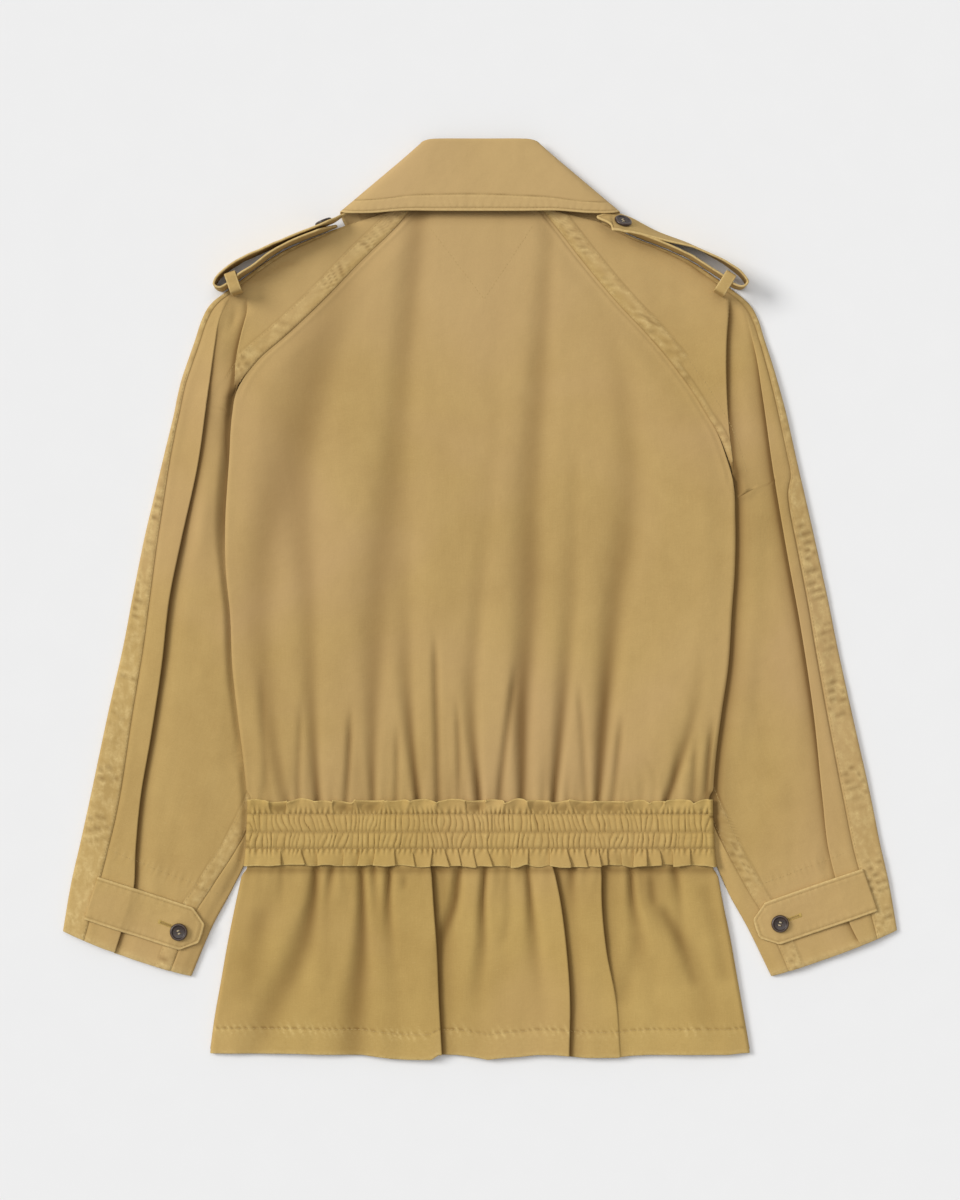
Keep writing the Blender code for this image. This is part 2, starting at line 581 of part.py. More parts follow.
def sleeve_sections(side, ts):
    """For each section: the points of the front piece and those of the back piece."""
    parts, over, under, first_open, count = sleeve_curves(side)
    sign = SIGN[side]
    fronts_, backs = [], []
    for t in ts:
        out = np.array([float(parts["x_out"](t)), float(parts["y_out"](t))])
        top = np.array([float(parts["x_top"](t)), float(parts["y_top"](t))])
        low = np.array([float(parts["x_low"](t)), float(parts["y_low"](t))])
        is_open = t > first_open - 0.999
        closed = float(step(first_open - t)) if is_open else 1.0
        if is_open and t >= first_open + 2:
            seam_x = -float(back_left(top[1])) if side == "left" else float(back_right(top[1]))
            top[0] = seam_x + 0.65
        seam_z = float(back_height(sign * top[0], top[1]))
        width = float(np.linalg.norm(top - out))
        along = (top - out) / width

        down = np.array([along[1], -along[0]]) if along[0] > 0 else np.array([-along[1], along[0]])

        def upper(share):
            p = out + along * width * share + down * cuff_bow(side, t, share)
            z = float(sleeve_height(side, p[0], p[1], width * share, share, seam_z, is_open))
            return (sign * p[0], p[1], z)

        over_at, under_at = float(over(out[1])), float(under(out[1]))
        over_at = max(over_at, 4.2 / width)
        gap = (0.25 if t < 19.5 else 0.5) / width
        fold = 2.4 / width
        # Back piece: from the overarm seam to the underarm seam or the raglan seam.
        end = 1.0 if closed == 0 else closed * (under_at - gap) + (1 - closed) * 1.0
        start = over_at + gap
        pleat_shares = []
        for kind, w, xf, amp, y0, y1 in PLEAT_LINES[side]:
            s = 0.5
            for _ in range(12):
                p = out + along * width * s
                s += (p[0] - float(xf(p[1]))) / max(width * abs(along[0]), 1) * 0.8
                s = min(max(s, 0.0), 1.0)
            pleat_shares.append(s)
        lip = 1.5 / width
        wide = lip
        if out[1] < UNDERARM_Y[side] + 24:
            # Here the second pair of columns follows the body's side fold.
            s = 0.6
            for _ in range(14):
                p = out + along * width * s
                s += (p[0] - float(side_edge(p[1], side)) - 8.0) / max(width * abs(along[0]), 1) * 0.8
                s = min(max(s, 0.0), 1.2)
            pleat_shares[1], wide = s, 5.0 / width
        a = min(max(pleat_shares[0], start + 0.10), end - 0.30)
        b = min(max(pleat_shares[1], a + 0.10), end - 1.5 * wide)
        shares = [start, (start + a) / 2, a - lip, a + lip, (a + b) / 2, b - wide, b + wide, (b + wide + end) / 2, end]
        shares = spaced(shares, start, end, 0.012)
        backs.append([upper(s) for s in shares])
        # Front piece: from the overarm seam round the outer fold and underneath.
        edge = over_at - gap
        pts = [upper(edge), upper((edge + fold) / 2), upper(fold)]
        zt = pts[-1][2]
        base = FLOOR + float(over_wings(out[0], out[1]))
        mid, half = (zt + base) / 2, (zt - base) / 2
        at = fold * width
        for a_ in (60, 115, 180):
            r = math.radians(a_)
            reach = at * (1 - math.sin(r))
            p = out + along * reach
            pts.append((sign * p[0], p[1], mid + half * math.cos(r)))
        span = low - out
        length = float(np.linalg.norm(span))
        ray = span / length
        if is_open and t >= first_open:
            low = low + ray * -0.3
        for s in (0.35, 0.7):
            p = out + ray * length * s + down * cuff_bow(side, t, s)
            pts.append((sign * p[0], p[1], FLOOR + float(over_wings(p[0], p[1]))))
        # The inner fold, which opens out into the front raglan seam.
        in_z = float(sleeve_height(side, top[0], top[1], width, 1.0, seam_z, False))
        if out[1] < -150:
            in_z = max(in_z * 0.75, SLEEVE_TUCK)
        r_in = max((in_z - FLOOR) / 2, 0.75)
        back_to = (1 - under_at) * width
        for k, a_ in enumerate((180, 115, 60, 0)):
            r = math.radians(a_)
            reach = length - r_in * (1 - math.sin(r))
            wrapped = out + ray * reach
            wz = FLOOR + r_in + r_in * math.cos(r)
            flat = out + ray * (length * (0.80 + 0.05 * k))
            p = closed * wrapped + (1 - closed) * flat
            fz = FLOOR + float(over_wings(p[0], p[1]))
            pts.append((sign * p[0], p[1], closed * wz + (1 - closed) * fz))
        last = upper(under_at + gap)
        last = np.array([abs(last[0]), last[1], last[2]])
        if back_to < 2 * r_in:
            last = np.array([*(out + ray * (length - r_in - 0.6)), in_z])
        flat_end = out + ray * (length - 0.3)
        flat_end = np.array([*flat_end, FLOOR + float(over_wings(*flat_end))])
        if not is_open:
            fin = last
        else:
            fin = closed * last + (1 - closed) * flat_end
        pts.append((sign * fin[0], fin[1], fin[2]))
        fronts_.append(pts)
    return fronts_, backs


def sleeves(mat):
    for side in ("left", "right"):
        if side == "left":
            ts = (0, 1, 2, 2.5, 3, 3.5, 4, 5.5, 7, 8, 9, 10, 10.5, *range(11, 23))
        else:
            ts = (0, 1, 2, 2.5, 3, 3.5, 4, 5.5, 7, 8, 8.5, *range(9, 23))
        front, back = sleeve_sections(side, ts)
        add_grid("sleeve_front_" + side, front, mat)
        add_grid("sleeve_back_" + side, back, mat)


# ----------------------------------------------------------------- the collar
COLLAR_COLUMNS = ("x_fold", "y_fold", "z_fold", "x_edge", "y_edge", "z_edge")
# From the middle of the back round to the end under a front.
COLLAR = (
    (0, 390.4, 12.0, 0, 329.6, 14.6),
    (16, 390.4, 12.0, 34, 329.6, 14.6),
    (30, 390.4, 12.0, 65, 329.8, 14.6),
    (41, 390.1, 11.6, 90, 328.0, 14.2),
    (47, 388.9, 10.4, 107, 327.8, 13.4),
    (50, 387.4, 8.0, 114.8, 328.4, 11.4),
    (50.3, 386.2, 5.4, 118.6, 329.2, 7.8),
    (48.6, 384.4, 2.8, 117.6, 324.6, 2.7),
    (47, 382.6, 1.0, 114.6, 318.6, 0.7),
    (45, 380.0, 0.6, 110.5, 311, 0.6),
    (34, 358, 0.6, 100, 288, 0.6),
    (14, 322, 0.6, 84, 256, 0.6),
)


def collar(mat):
    rows = []
    half = [tuple(r) for r in COLLAR]
    full = [(-r[0], r[1], r[2], -r[3], r[4], r[5]) for r in half[:0:-1]] + half
    for xa, ya, za, xb, yb, zb in full:
        row = []
        for s in (0, 0.33, 0.66, 1.0):
            bow = 0.9 * math.sin(math.pi * s) * min(1.0, za / 12)
            row.append((xa + (xb - xa) * s, ya + (yb - ya) * s, za + (zb - za) * s + bow))
        rows.append(row)
    add_grid("collar_fall", rows, mat)
    rows = []
    for x in (-44, -33, -22, -11, 0, 11, 22, 33, 44):
        lean = x * 1.0
        rows.append([(lean, 388.6, 9.9 - 0.0006 * x * x), (lean * 1.02, 372, 9.3), (lean * 1.03, 355, 8.1), (lean * 1.05, 339.0, 7.3)])
    add_grid("collar_stand", rows, mat)


# ------------------------------------------------- straps, keepers, tabs, buttons
STRAP_COLUMNS = ("x", "y", "lean")
# Middle of each strap's wall: from the seam at the neck out along the shoulder,
# round the tip and back on top to the pointed end. lean is how far the upper
# long edge is displaced towards the garment.
STRAPS = {
    "left": ((122, 317.6, 0), (137, 311.7, 0), (162, 301.8, 0), (178, 292.8, 0), (192, 282.2, 0), (203, 274.8, 0), (213, 267.0, 0),
             (219.5, 263.2, 0), (224, 264.6, 0), (225, 268, 0), (219, 276, 0), (203, 287.2, 0), (181, 297.4, 0),
             (155, 308.5, 0), (128, 319.2, 0), (117, 326.0, -1.0), (104, 334, 0.0)),
    "right": ((121.5, 314.5, 0), (135.5, 308.5, 0), (159.5, 299.5, 0), (178, 291, 0), (193, 281.4, 0), (204, 274.4, 0), (214, 266.8, 0),
              (221, 264.2, 0), (225.4, 266, 0), (226, 270, 0), (219, 278, 0), (202, 289.8, 1.5), (180, 301.8, 4.0),
              (153, 312.0, 8.0), (128, 324.2, 15.0), (112, 328.0, 16.0), (99.5, 324.2, 1.5)),
}
KEEPERS = {"left": ((206.0, 259.5), (211.8, 276.0)), "right": ((202.6, 259.5), (212.6, 275.5))}
KEEPER_WIDE = 9.0
STRAP_BUTTON = {"left": (13, 0.82), "right": (14, 0.26)}     # between which two rows of the strap


def straps(mat, dark):
    for side in ("left", "right"):
        sign = SIGN[side]
        path = STRAPS[side]
        rows, frames = [], []
        for k, (x, y, lean) in enumerate(path):
            before, after = path[max(k - 1, 0)], path[min(k + 1, len(path) - 1)]
            along = np.array([after[0] - before[0], after[1] - before[1]], float)
            along /= np.linalg.norm(along)
            towards = np.array([-along[1], along[0]])       # left of the way it runs
            low, high = STRAP_LOW, STRAP_TOP
            last = len(path) - 1
            if k >= last - 2:
                low = 5.2                                   # above the collar's front layer
            if k == last:
                low, high = (6.8, 8.4) if side == "left" else (15.4, 17.9)      # the pointed end
            elif k == last - 1:
                # Both go over the collar's corner; the left one then runs under its leaf.
                low, high = (6.2, 8.0) if side == "left" else (8.4, STRAP_TOP)
            elif k == 0:
                low, high = 3.5, 9.0                        # where it is sewn in
            frames.append((np.array([x, y]), towards, lean, low, high))
            row = []
            for s in (0, 0.5, 1):
                shift = lean * s
                p = np.array([x, y]) + towards * shift
                row.append((sign * p[0], p[1], low + (high - low) * s))
            rows.append(row)
        add_grid("epaulette_" + side, rows, mat, STRAP_THICK)
        # The button on the outer face, near the pointed end.
        k, f = STRAP_BUTTON[side]
        mix = [a * (1 - f) + b * f for a, b in zip(frames[k], frames[k + 1])]
        centre, towards, lean, low, high = mix
        towards /= np.linalg.norm(towards)
        tilt = math.atan2(lean, high - low)
        normal = np.array([*(-towards * math.cos(tilt)), math.sin(tilt)])
        base = np.array([*(centre + towards * lean * 0.5), (low + high) / 2]) + normal * (STRAP_THICK / 2 + 3 * GAP)
        facing = mathutils.Vector((sign * normal[0], normal[1], normal[2]))
        button("epaulette_button_" + side, dark, (sign * base[0], base[1], base[2]), facing.to_track_quat("Z", "Y").to_euler())
        (xi, yi), (xo, yo) = KEEPERS[side]
        a, b = np.array([xi, yi]), np.array([xo, yo])
        run = (b - a) / np.linalg.norm(b - a)
        cross = np.array([-run[1], run[0]]) * KEEPER_WIDE / 2
        top = STRAP_TOP + STRAP_THICK / 2 - 1 + GAP + CLOTH / 2 + 0.2
        foot_in = 7.6
        path3 = [(0, foot_in), (0, 17), (0, top - 2.2), (0.6, top - 0.7), (2.4, top), (0.5, top), (-2.4, top), (-0.6, top - 0.7),
                 (0, top - 2.2), (0, 14), (0, 1.2)]
        rows = []
        length = float(np.linalg.norm(b - a))
        for k, (dx, z) in enumerate(path3):
            if k < 5:
                at = a + run * dx
            elif k == 5:
                at = (a + b) / 2
            else:
                at = b + run * dx
            rows.append([(sign * (at + cross * s)[0], (at + cross * s)[1], z) for s in (-1, 1)])
        add_grid("epaulette_keeper_" + side, rows, mat)


def surface_of_sleeve(side, x, y):
    """Height of the sleeve's upper layer at a place near the cuff."""
    parts, over, under, first_open, count = sleeve_curves(side)
    best = None
    for t in np.linspace(0, 4, 161):
        o = np.array([float(parts["x_out"](t)), float(parts["y_out"](t))])
        p = np.array([float(parts["x_top"](t)), float(parts["y_top"](t))])
        w = float(np.linalg.norm(p - o))
        n = (p - o) / w
        rel = np.array([x, y]) - o
        off = abs(rel[0] * n[1] - rel[1] * n[0])
        if best is None or off < best[0]:
            best = (off, float(np.dot(rel, n)), w)
    off, d, w = best
    return float(sleeve_height(side, x, y, max(d, 0.0), d / w, 0.0, False))


TABS = {
    # middle of the sewn end, middle of the pointed end
    "left": ((330.5, -254.5), (238.5, -284.0)),
    "right": ((331.5, -247.5), (237.0, -280.0)),
}
TAB_COLUMNS = ("along", "half")
TAB_SHAPE = ((0, 19.3), (22, 19.3), (44, 19.3), (64, 19.3), (84, 19.3), (92, 13.5), (98.5, 7.5))
BUTTONS = {
    # x, y from the centre line; cuff buttons lie flat on the tab
    "left": (256.0, -283.0),
    "right": (255.0, -276.0),
}


def tabs(mat):
    heights = {}
    for side in ("left", "right"):
        sign = SIGN[side]
        (x0, y0), (x1, y1) = TABS[side]
        axis = np.array([x1 - x0, y1 - y0])
        length = float(np.linalg.norm(axis))
        axis /= length
        across = np.array([-axis[1], axis[0]])
        rows = []
        for s, half in TAB_SHAPE:
            at = np.array([x0, y0]) + axis * s * length / 97.0
            row = []
            for u in (-1, 0, 1):
                p = at + across * half * u
                near = max(surface_of_sleeve(side, p[0] + dx, p[1] + dy) for dx, dy in ((0, 0), (4, 0), (-4, 0), (0, 4), (0, -4)))
                row.append((sign * p[0], p[1], near + LAYER + 0.7))
            rows.append(row)
        add_grid("cuff_tab_" + side, rows, mat)
        bx, by = BUTTONS[side]
        rel = np.array([bx, by]) - np.array([x0, y0])
        s = float(np.dot(rel, axis)) * 97.0 / length
        k = max(i for i, r in enumerate(TAB_SHAPE) if r[0] <= s)
        heights[side] = max(p[2] for row in rows[k:k + 2] for p in row) + CLOTH / 2 + GAP
    return heights


def button(name, mat, place, tilt=None):
    """A turned button: a disc with a raised rim and a dished middle."""
    r, h = BUTTON_ACROSS / 2, BUTTON_THICK
    profile = ((0, 0), (0.80 * r, 0), (0.97 * r, 0.25 * h), (r, 0.55 * h), (0.95 * r, 0.88 * h),
               (0.84 * r, h), (0.74 * r, 0.92 * h), (0.60 * r, 0.66 * h), (0, 0.60 * h))
    count = 20
    verts, faces = [(0, 0, 0)], []
    for rr, zz in profile[1:-1]:
        for k in range(count):
            a = 2 * math.pi * k / count
            verts.append((rr * math.cos(a), rr * math.sin(a), zz))
    verts.append((0, 0, profile[-1][1]))
    rings = len(profile) - 2
    for k in range(count):
        n = (k + 1) % count
        faces.append((0, 1 + n, 1 + k))
        for j in range(rings - 1):
            a, b = 1 + j * count, 1 + (j + 1) * count
            faces.append((a + k, a + n, b + n, b + k))
        last = 1 + (rings - 1) * count
        faces.append((last + k, last + n, len(verts) - 1))
    obj = add_object(name, verts, faces, mat)
    obj.location = tuple(c / 1000 for c in place)
    if tilt:
        obj.rotation_euler = tilt
    return obj


def main():
    clear_scene()
    cloth = material("cotton_twill", CLOTH_COLOUR, 0.9)
    dark = material("button_brown", BUTTON_COLOUR, 0.35)
    back_panel(cloth)
    peplum_back(cloth)
    fronts(cloth)
    waist_casing_back(cloth)
    sleeves(cloth)
    collar(cloth)
    straps(cloth, dark)
    heights = tabs(cloth)
    for side in ("left", "right"):
        x, y = BUTTONS[side]
        button("cuff_button_" + side, dark, (SIGN[side] * x, y, heights[side]))


main()
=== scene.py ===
import math

import bmesh
import bpy
import mathutils
import numpy as np
from mathutils.bvhtree import BVHTree
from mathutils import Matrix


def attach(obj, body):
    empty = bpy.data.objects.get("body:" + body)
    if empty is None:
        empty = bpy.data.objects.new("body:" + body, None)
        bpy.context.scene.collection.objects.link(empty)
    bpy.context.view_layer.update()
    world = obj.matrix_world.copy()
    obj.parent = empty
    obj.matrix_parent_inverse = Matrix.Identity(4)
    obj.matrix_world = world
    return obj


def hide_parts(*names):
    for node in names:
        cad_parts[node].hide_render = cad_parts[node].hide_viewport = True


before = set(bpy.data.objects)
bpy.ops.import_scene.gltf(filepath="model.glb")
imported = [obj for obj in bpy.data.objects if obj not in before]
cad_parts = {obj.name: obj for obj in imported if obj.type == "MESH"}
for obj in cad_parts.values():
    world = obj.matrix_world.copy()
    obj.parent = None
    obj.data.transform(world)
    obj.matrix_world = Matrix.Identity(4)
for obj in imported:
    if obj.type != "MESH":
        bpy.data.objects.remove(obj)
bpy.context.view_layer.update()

# A short trench-style coat laid flat on its front, back up, in fine detail:
# every panel is a thin cloth shell on the form of its frame solid, with laid
# and lapped folds, gathered channels, frills, felled seams and stitching.

# Driving dimensions, mm
CLOTH = 1.2                # wall of every cloth piece
GAP = 0.3                  # between neighbouring pieces
LAP = 20.0                 # how far each front runs past the centre line
BUTTON_ACROSS = 15.0
BUTTON_THICK = 3.0
STRAP_THICK = 2.0          # two layers of cloth
STRAP_LOW, STRAP_TOP = 1.0, 27.0
TAB_LENGTH, TAB_HALF = 99.0, 19.3
COLLAR_TOP = 390.4         # y of the collar's fold
HEM = -391.9               # lowest y of the hem
CLOTH_COLOUR = (0.455, 0.325, 0.135)
BUTTON_COLOUR = (0.020, 0.015, 0.012)

# ------------------------------------------------------------------ sizes, mm
# Frame: x to the right, y towards the collar, z up from the surface it lies on.
# The coat lies on its front, back up, so -x is the wearer's left.

SLEEVE_COLUMNS = ("x_out", "y_out", "x_top", "y_top", "x_low", "y_low", "open")
# One row for each section of a sleeve, cuff to neck; x is distance from the
# centre line. *_out is the outer fold, *_top where the upper layer ends and
# *_low where the lower layer ends; open is 1 where those two are raglan seams
# and 0 where they are one fold.
SLEEVE_LEFT = (
    (355, -282.8, 246.3, -321, 246.3, -321, 0),
    (348, -242, 229.0, -280, 229, -280, 0),
    (340, -207, 212.0, -248, 212, -248, 0),
    (331, -166, 193.0, -208, 193, -208, 0),
    (316, -95, 172.0, -145, 172, -145, 0),
    (304, -42, 166.0, -90, 166, -90, 0),
    (296, 0, 161.0, -40, 161, -40, 0),
    (286, 50, 160.0, -2, 160, -2, 0),
    (278, 84, 162.0, 40, 162, 40, 0),
    (269, 122, 166.0, 82, 166, 82, 0),
    (261, 155, 173.0, 118, 173, 118, 0),
    (258, 170, 204.0, 155, 166, 140, 1),
    (256, 179, 208.6, 167, 162, 150, 1),
    (253, 190, 207.0, 177, 159, 158, 1),
    (243, 219, 196.0, 195, 148, 186, 1),
    (236.5, 238.5, 178.0, 213, 138, 206, 1),
    (228.8, 251.5, 157.0, 232, 125, 227, 1),
    (214.2, 263.0, 137.0, 251, 112, 246, 1),
    (193.8, 278.7, 119.0, 269, 99, 262, 1),
    (171.3, 294.0, 103.0, 286, 86, 277, 1),
    (147.3, 305.2, 84.0, 304, 72, 291, 1),
    (126.2, 313.4, 68.0, 320, 58, 304, 1),
    (107, 320.2, 56.0, 336, 48, 314, 1),
)
SLEEVE_RIGHT = (
    (355, -282, 248.5, -321, 248.5, -321, 0),
    (348, -242, 229.0, -281, 229, -281, 0),
    (340, -206, 211.0, -248, 211, -248, 0),
    (332, -166, 194.0, -206, 194, -206, 0),
    (316, -95, 176.0, -145, 176, -145, 0),
    (304, -40, 168.0, -88, 168, -88, 0),
    (296, 0, 164.0, -40, 164, -40, 0),
    (285, 50, 164.0, 12, 164, 12, 0),
    (276, 90, 168.0, 56, 168, 56, 0),
    (272, 107, 212.0, 83, 163, 76, 1),
    (270, 116, 217.6, 93, 160, 86, 1),
    (268, 125, 215.0, 103, 158, 94, 1),
    (260, 160, 208.0, 124, 152, 124, 1),
    (250, 196, 197.0, 149, 145, 156, 1),
    (242, 221, 182.0, 175, 136, 184, 1),
    (236.5, 238.5, 166.0, 198, 126, 206, 1),
    (228.8, 251.5, 148.0, 219, 115, 226, 1),
    (214.5, 263.3, 129.0, 240, 103, 244, 1),
    (194.5, 277.7, 111.0, 260, 90, 262, 1),
    (176, 289.4, 95.0, 278, 78, 277, 1),
    (154, 299.2, 79.0, 297, 66, 291, 1),
    (131.5, 307.5, 66.0, 315, 55, 304, 1),
    (107, 319.6, 53.0, 333, 46, 314, 1),
)
# The overarm seam on the upper layer, and the underarm seam near the inner
# fold: how far each lies from the outer fold, as a share of the section.
SEAM_COLUMNS = ("y_out", "over", "under")
SEAMS_LEFT = (
    (-281, 0.170, 0.850), (-242, 0.185, 0.855), (-207, 0.180, 0.885),
    (-166, 0.170, 0.930), (-95, 0.135, 0.970), (0, 0.105, 0.975),
    (84, 0.070, 0.975), (122, 0.050, 0.975), (155, 0.040, 0.975),
    (188, 0.035, 0.980), (220, 0.030, 1.0), (325, 0.030, 1.0),
)
SEAMS_RIGHT = (
    (-281, 0.160, 0.870), (-242, 0.170, 0.870), (-207, 0.170, 0.890),
    (-166, 0.160, 0.930), (-95, 0.140, 0.970), (0, 0.125, 0.975),
    (84, 0.125, 0.975), (122, 0.120, 0.975), (155, 0.110, 0.980),
    (200, 0.075, 1.0), (240, 0.035, 1.0), (325, 0.030, 1.0),
)

EDGE_COLUMNS = ("y", "x_left", "x_right")
# The back panel: raglan seams down to the underarms, then the side folds.
BACK_EDGES = (
    (337, -56, 48), (325, -64.5, 58), (286, -103, 88.5), (252, -136, 117),
    (222, -168, 145), (205, -187.5, 159.5), (190, -199.5, 171), (176, -207, 181),
    (158, -210.5, 192), (143, -212, 201), (122, -213, 209), (101, -214.5, 215),
    (67, -216.5, 217), (23, -216, 216.5), (-12, -212.5, 214), (-58, -210.5, 211),
    (-99, -206, 205), (-135, -201.5, 200.5), (-171, -198, 198), (-213, -199.5, 199.5),
)
UNDERARM_Y = {"left": 176.0, "right": 102.0}   # where each raglan seam reaches the side fold
PEPLUM_EDGES = (
    (-197, -198, 198), (-227, -201, 201), (-256, -207, 206), (-290, -214, 213),
    (-324, -220, 219), (-358, -226, 225), (-384, -229.5, 229.5),
)

# Folds. x is given at the named heights, amp is the height of the fold in mm
# at the same heights; w is its half width, and kind one of
# 0 soft trough, 1 ridge, 2 left side laps over right, 3 right side laps over left
BACK_FOLD_Y = (270, 180, 90, 0, -90, -168)
BACK_FOLDS = (
    # kind, w at each height or all along, x at each height, amp at each height
    (0, (26, 26, 20, 17, 10, 5.5), (-121, -149, -174, -188, -181, -167), (1.9, 1.9, 2.3, 2.0, 1.5, 1.8)),
    (0, (12, 15, 15, 12, 7, 3.6), (-105, -136, -152, -147, -143, -138.5), (0.0, 1.0, 2.0, 1.9, 1.9, 2.8)),
    (1, 22, (-85, -108, -112, -116, -120, -120), (0.3, 0.5, 0.5, 0.4, 0.3, 0.2)),
    (0, (12, 13, 17, 17, 8, 4), (-58, -67, -76, -87, -91, -91.5), (2.1, 1.9, 2.3, 2.4, 2.0, 2.4)),
    (0, (9, 9, 9, 10, 6, 3.2), (-50, -56, -62, -64, -61, -53.5), (0.0, 0.0, 0.2, 1.2, 2.3, 3.9)),
    (1, 30, (-20, -25, -28, -30, -32, -30), (0.5, 0.6, 0.6, 0.5, 0.3, 0.2)),
    (0, (9, 9, 9, 8, 6.5, 3.2), (16, 12, 8, -1, -7.5, -1), (0.2, 0.3, 0.5, 1.0, 1.9, 3.6)),
    (0, (9, 11, 14, 13, 8.5, 4), (56, 50, 43, 42, 36, 36), (1.5, 2.1, 2.6, 3.2, 3.6, 3.9)),
    (0, (8, 8, 7, 9, 6.5, 3.4), (80, 80, 80, 77, 70, 63.3), (0.0, 0.0, 0.6, 1.5, 2.7, 3.8)),
    (0, (12, 12, 14, 12, 7.5, 3.6), (98, 121, 126, 115, 106, 100.8), (0.0, 0.9, 1.8, 3.1, 3.7, 4.0)),
    (1, 26, (104, 140, 156, 156, 150, 136), (0.2, 0.3, 0.5, 0.6, 0.6, 0.6)),
    (0, (8, 8, 8, 8, 6.5, 3.8), (110, 152, 178, 188, 183, 160.5), (0.0, 0.0, 0.0, 0.0, 1.1, 3.5)),
)
PEPLUM_FOLD_Y = (-228, -256, -298, -341, -386)
PEPLUM_FOLDS = (
    (0, 13, (-166, -178, -196, -206, -212), (0.6, 0.9, 0.8, 0.3, 0.0)),
    (0, (3.2, 5.5, 12, 15, 15), (-140, -142, -152, -173, -192), (3.6, 3.4, 2.5, 1.9, 0.8)),
    (0, (3.0, 4.2, 7, 12, 14), (-101, -100, -100.5, -104.5, -108), (3.7, 3.6, 3.2, 2.6, 1.6)),
    (0, (2.8, 3.6, 6, 8, 8), (-76.5, -78, -76, -73, -72), (3.6, 3.0, 0.9, 0.3, 0.2)),
    (2, 15, (-42.5, -40.8, -37.8, -36, -33.5), (3.4, 3.6, 3.6, 3.5, 2.9)),
    (0, (3.0, 4.2, 7, 8, 8), (-17, -21, -33, -35, -30), (3.6, 3.4, 1.4, 0.3, 0.0)),
    (0, (2.8, 3.4, 5.5, 8, 8), (4.5, 2.5, 2.0, -3, -4), (3.7, 3.5, 1.9, 0.6, 0.3)),
    (0, (2.8, 3.6, 6.5, 8, 8), (40.5, 43, 46.5, 50, 51), (3.6, 3.2, 1.7, 0.5, 0.2)),
    (2, 12, (61.5, 67.2, 72.6, 75.6, 75), (3.2, 3.4, 3.6, 3.6, 3.0)),
    (2, 13, (102.5, 102.5, 106.5, 115.5, 119), (3.4, 3.4, 2.6, 1.0, 0.6)),
    (0, (2.8, 3.8, 8, 8, 8), (128.5, 130, 137, 146, 154), (3.4, 2.8, 0.7, 0.3, 0.0)),
    (0, 12, (144, 148, 176, 192, 200), (1.4, 1.4, 1.3, 0.9, 0.0)),
    (0, (3, 4.5, 7, 7, 7), (-125.5, -130, -132, -134, -136), (2.0, 1.2, 0.3, 0.0, 0.0)),
    (0, (3, 4.5, 7, 7, 7), (-90.5, -89, -88, -88, -88), (2.2, 1.0, 0.2, 0.0, 0.0)),
    (0, (4, 4, 5, 5, 5), (78, 79, 80, 80, 80), (2.6, 0.7, 0.0, 0.0, 0.0)),
    (0, (4, 5, 6, 6, 6), (166, 169.5, 171, 172, 173), (3.4, 1.3, 0.3, 0.0, 0.0)),
)
# Sleeve pleats: (kind 2 = the outer side laps over, 3 = the inner side laps
# over), then rows of distance from the centre line, y, height.
PLEATS_LEFT = (
    (2, 11, ((208, 268, 0.0), (222, 238, 0.6), (226, 216, 1.4), (234, 163, 2.6),
             (241, 115, 3.0), (255, 51, 3.3), (265, 2, 3.6), (272, -58, 3.6),
             (281, -117, 3.4), (290, -170, 3.0), (294, -213, 2.8), (296, -250, 2.4),
             (307, -287, 2.0), (313, -306, 1.8))),
    (3, 12, ((200, 263, 0.0), (198, 251, 0.8), (203, 224, 2.4), (206.5, 205, 2.9),
             (208, 186, 3.0), (213, 150, 2.0), (212, 110, 0.6), (205, 60, 0.0))),
)
PLEATS_RIGHT = (
    (2, 11, ((224, 252, 0.0), (231, 225, 0.7), (235, 209, 1.4), (241, 174, 2.2),
             (252, 100, 3.0), (264, 30, 3.4), (273, -19, 3.3), (285, -99, 2.6),
             (292, -170, 1.8), (297, -213, 1.4), (303, -238, 1.2), (315, -276, 1.6),
             (323, -292, 1.6))),
    (3, 12, ((213, 258, 0.0), (212, 250, 1.4), (209, 222, 2.8), (208.5, 199, 3.0),
             (211, 146, 3.0), (215, 111, 2.2), (216, 90, 1.2), (214, 50, 0.0))),
)


def curve(ts, vs):
    """A smooth line through the values vs at ts, going on straight past its ends."""
    ts, vs = np.asarray(ts, float), np.asarray(vs, float)
    if ts[0] > ts[-1]:
        ts, vs = ts[::-1], vs[::-1]
    h = np.diff(ts)
    d = np.diff(vs) / h
    m = np.empty_like(vs)
    m[0], m[-1] = d[0], d[-1]
    if len(ts) > 2:
        m[1:-1] = (d[:-1] * h[1:] + d[1:] * h[:-1]) / (h[:-1] + h[1:])

    def at(t):
        t = np.asarray(t, float)
        i = np.clip(np.searchsorted(ts, t) - 1, 0, len(ts) - 2)
        s = (t - ts[i]) / h[i]
        c = np.clip(s, 0, 1)
        a, b = vs[i], vs[i + 1]
        inside = (
            a * (2 * c**3 - 3 * c**2 + 1) + b * (3 * c**2 - 2 * c**3)
            + h[i] * (m[i] * (c**3 - 2 * c**2 + c) + m[i + 1] * (c**3 - c**2))
        )
        return inside + np.where(s < 0, s * h[i] * m[i], 0) + np.where(s > 1, (s - 1) * h[i] * m[i + 1], 0)

    return at


def step(t):
    """0 below 0, 1 above 1, smooth between."""
    t = np.clip(t, 0, 1)
    return t * t * (3 - 2 * t)


def columns(table, names, *wanted):
    return [np.array([row[names.index(w)] for row in table], float) for w in wanted]


EDGE_Y, EDGE_L, EDGE_R = columns(BACK_EDGES, EDGE_COLUMNS, "y", "x_left", "x_right")
back_left, back_right = curve(EDGE_Y, EDGE_L), curve(EDGE_Y, EDGE_R)
_PY, _PL, _PR = columns(PEPLUM_EDGES, EDGE_COLUMNS, "y", "x_left", "x_right")
peplum_left, peplum_right = curve(_PY, _PL), curve(_PY, _PR)


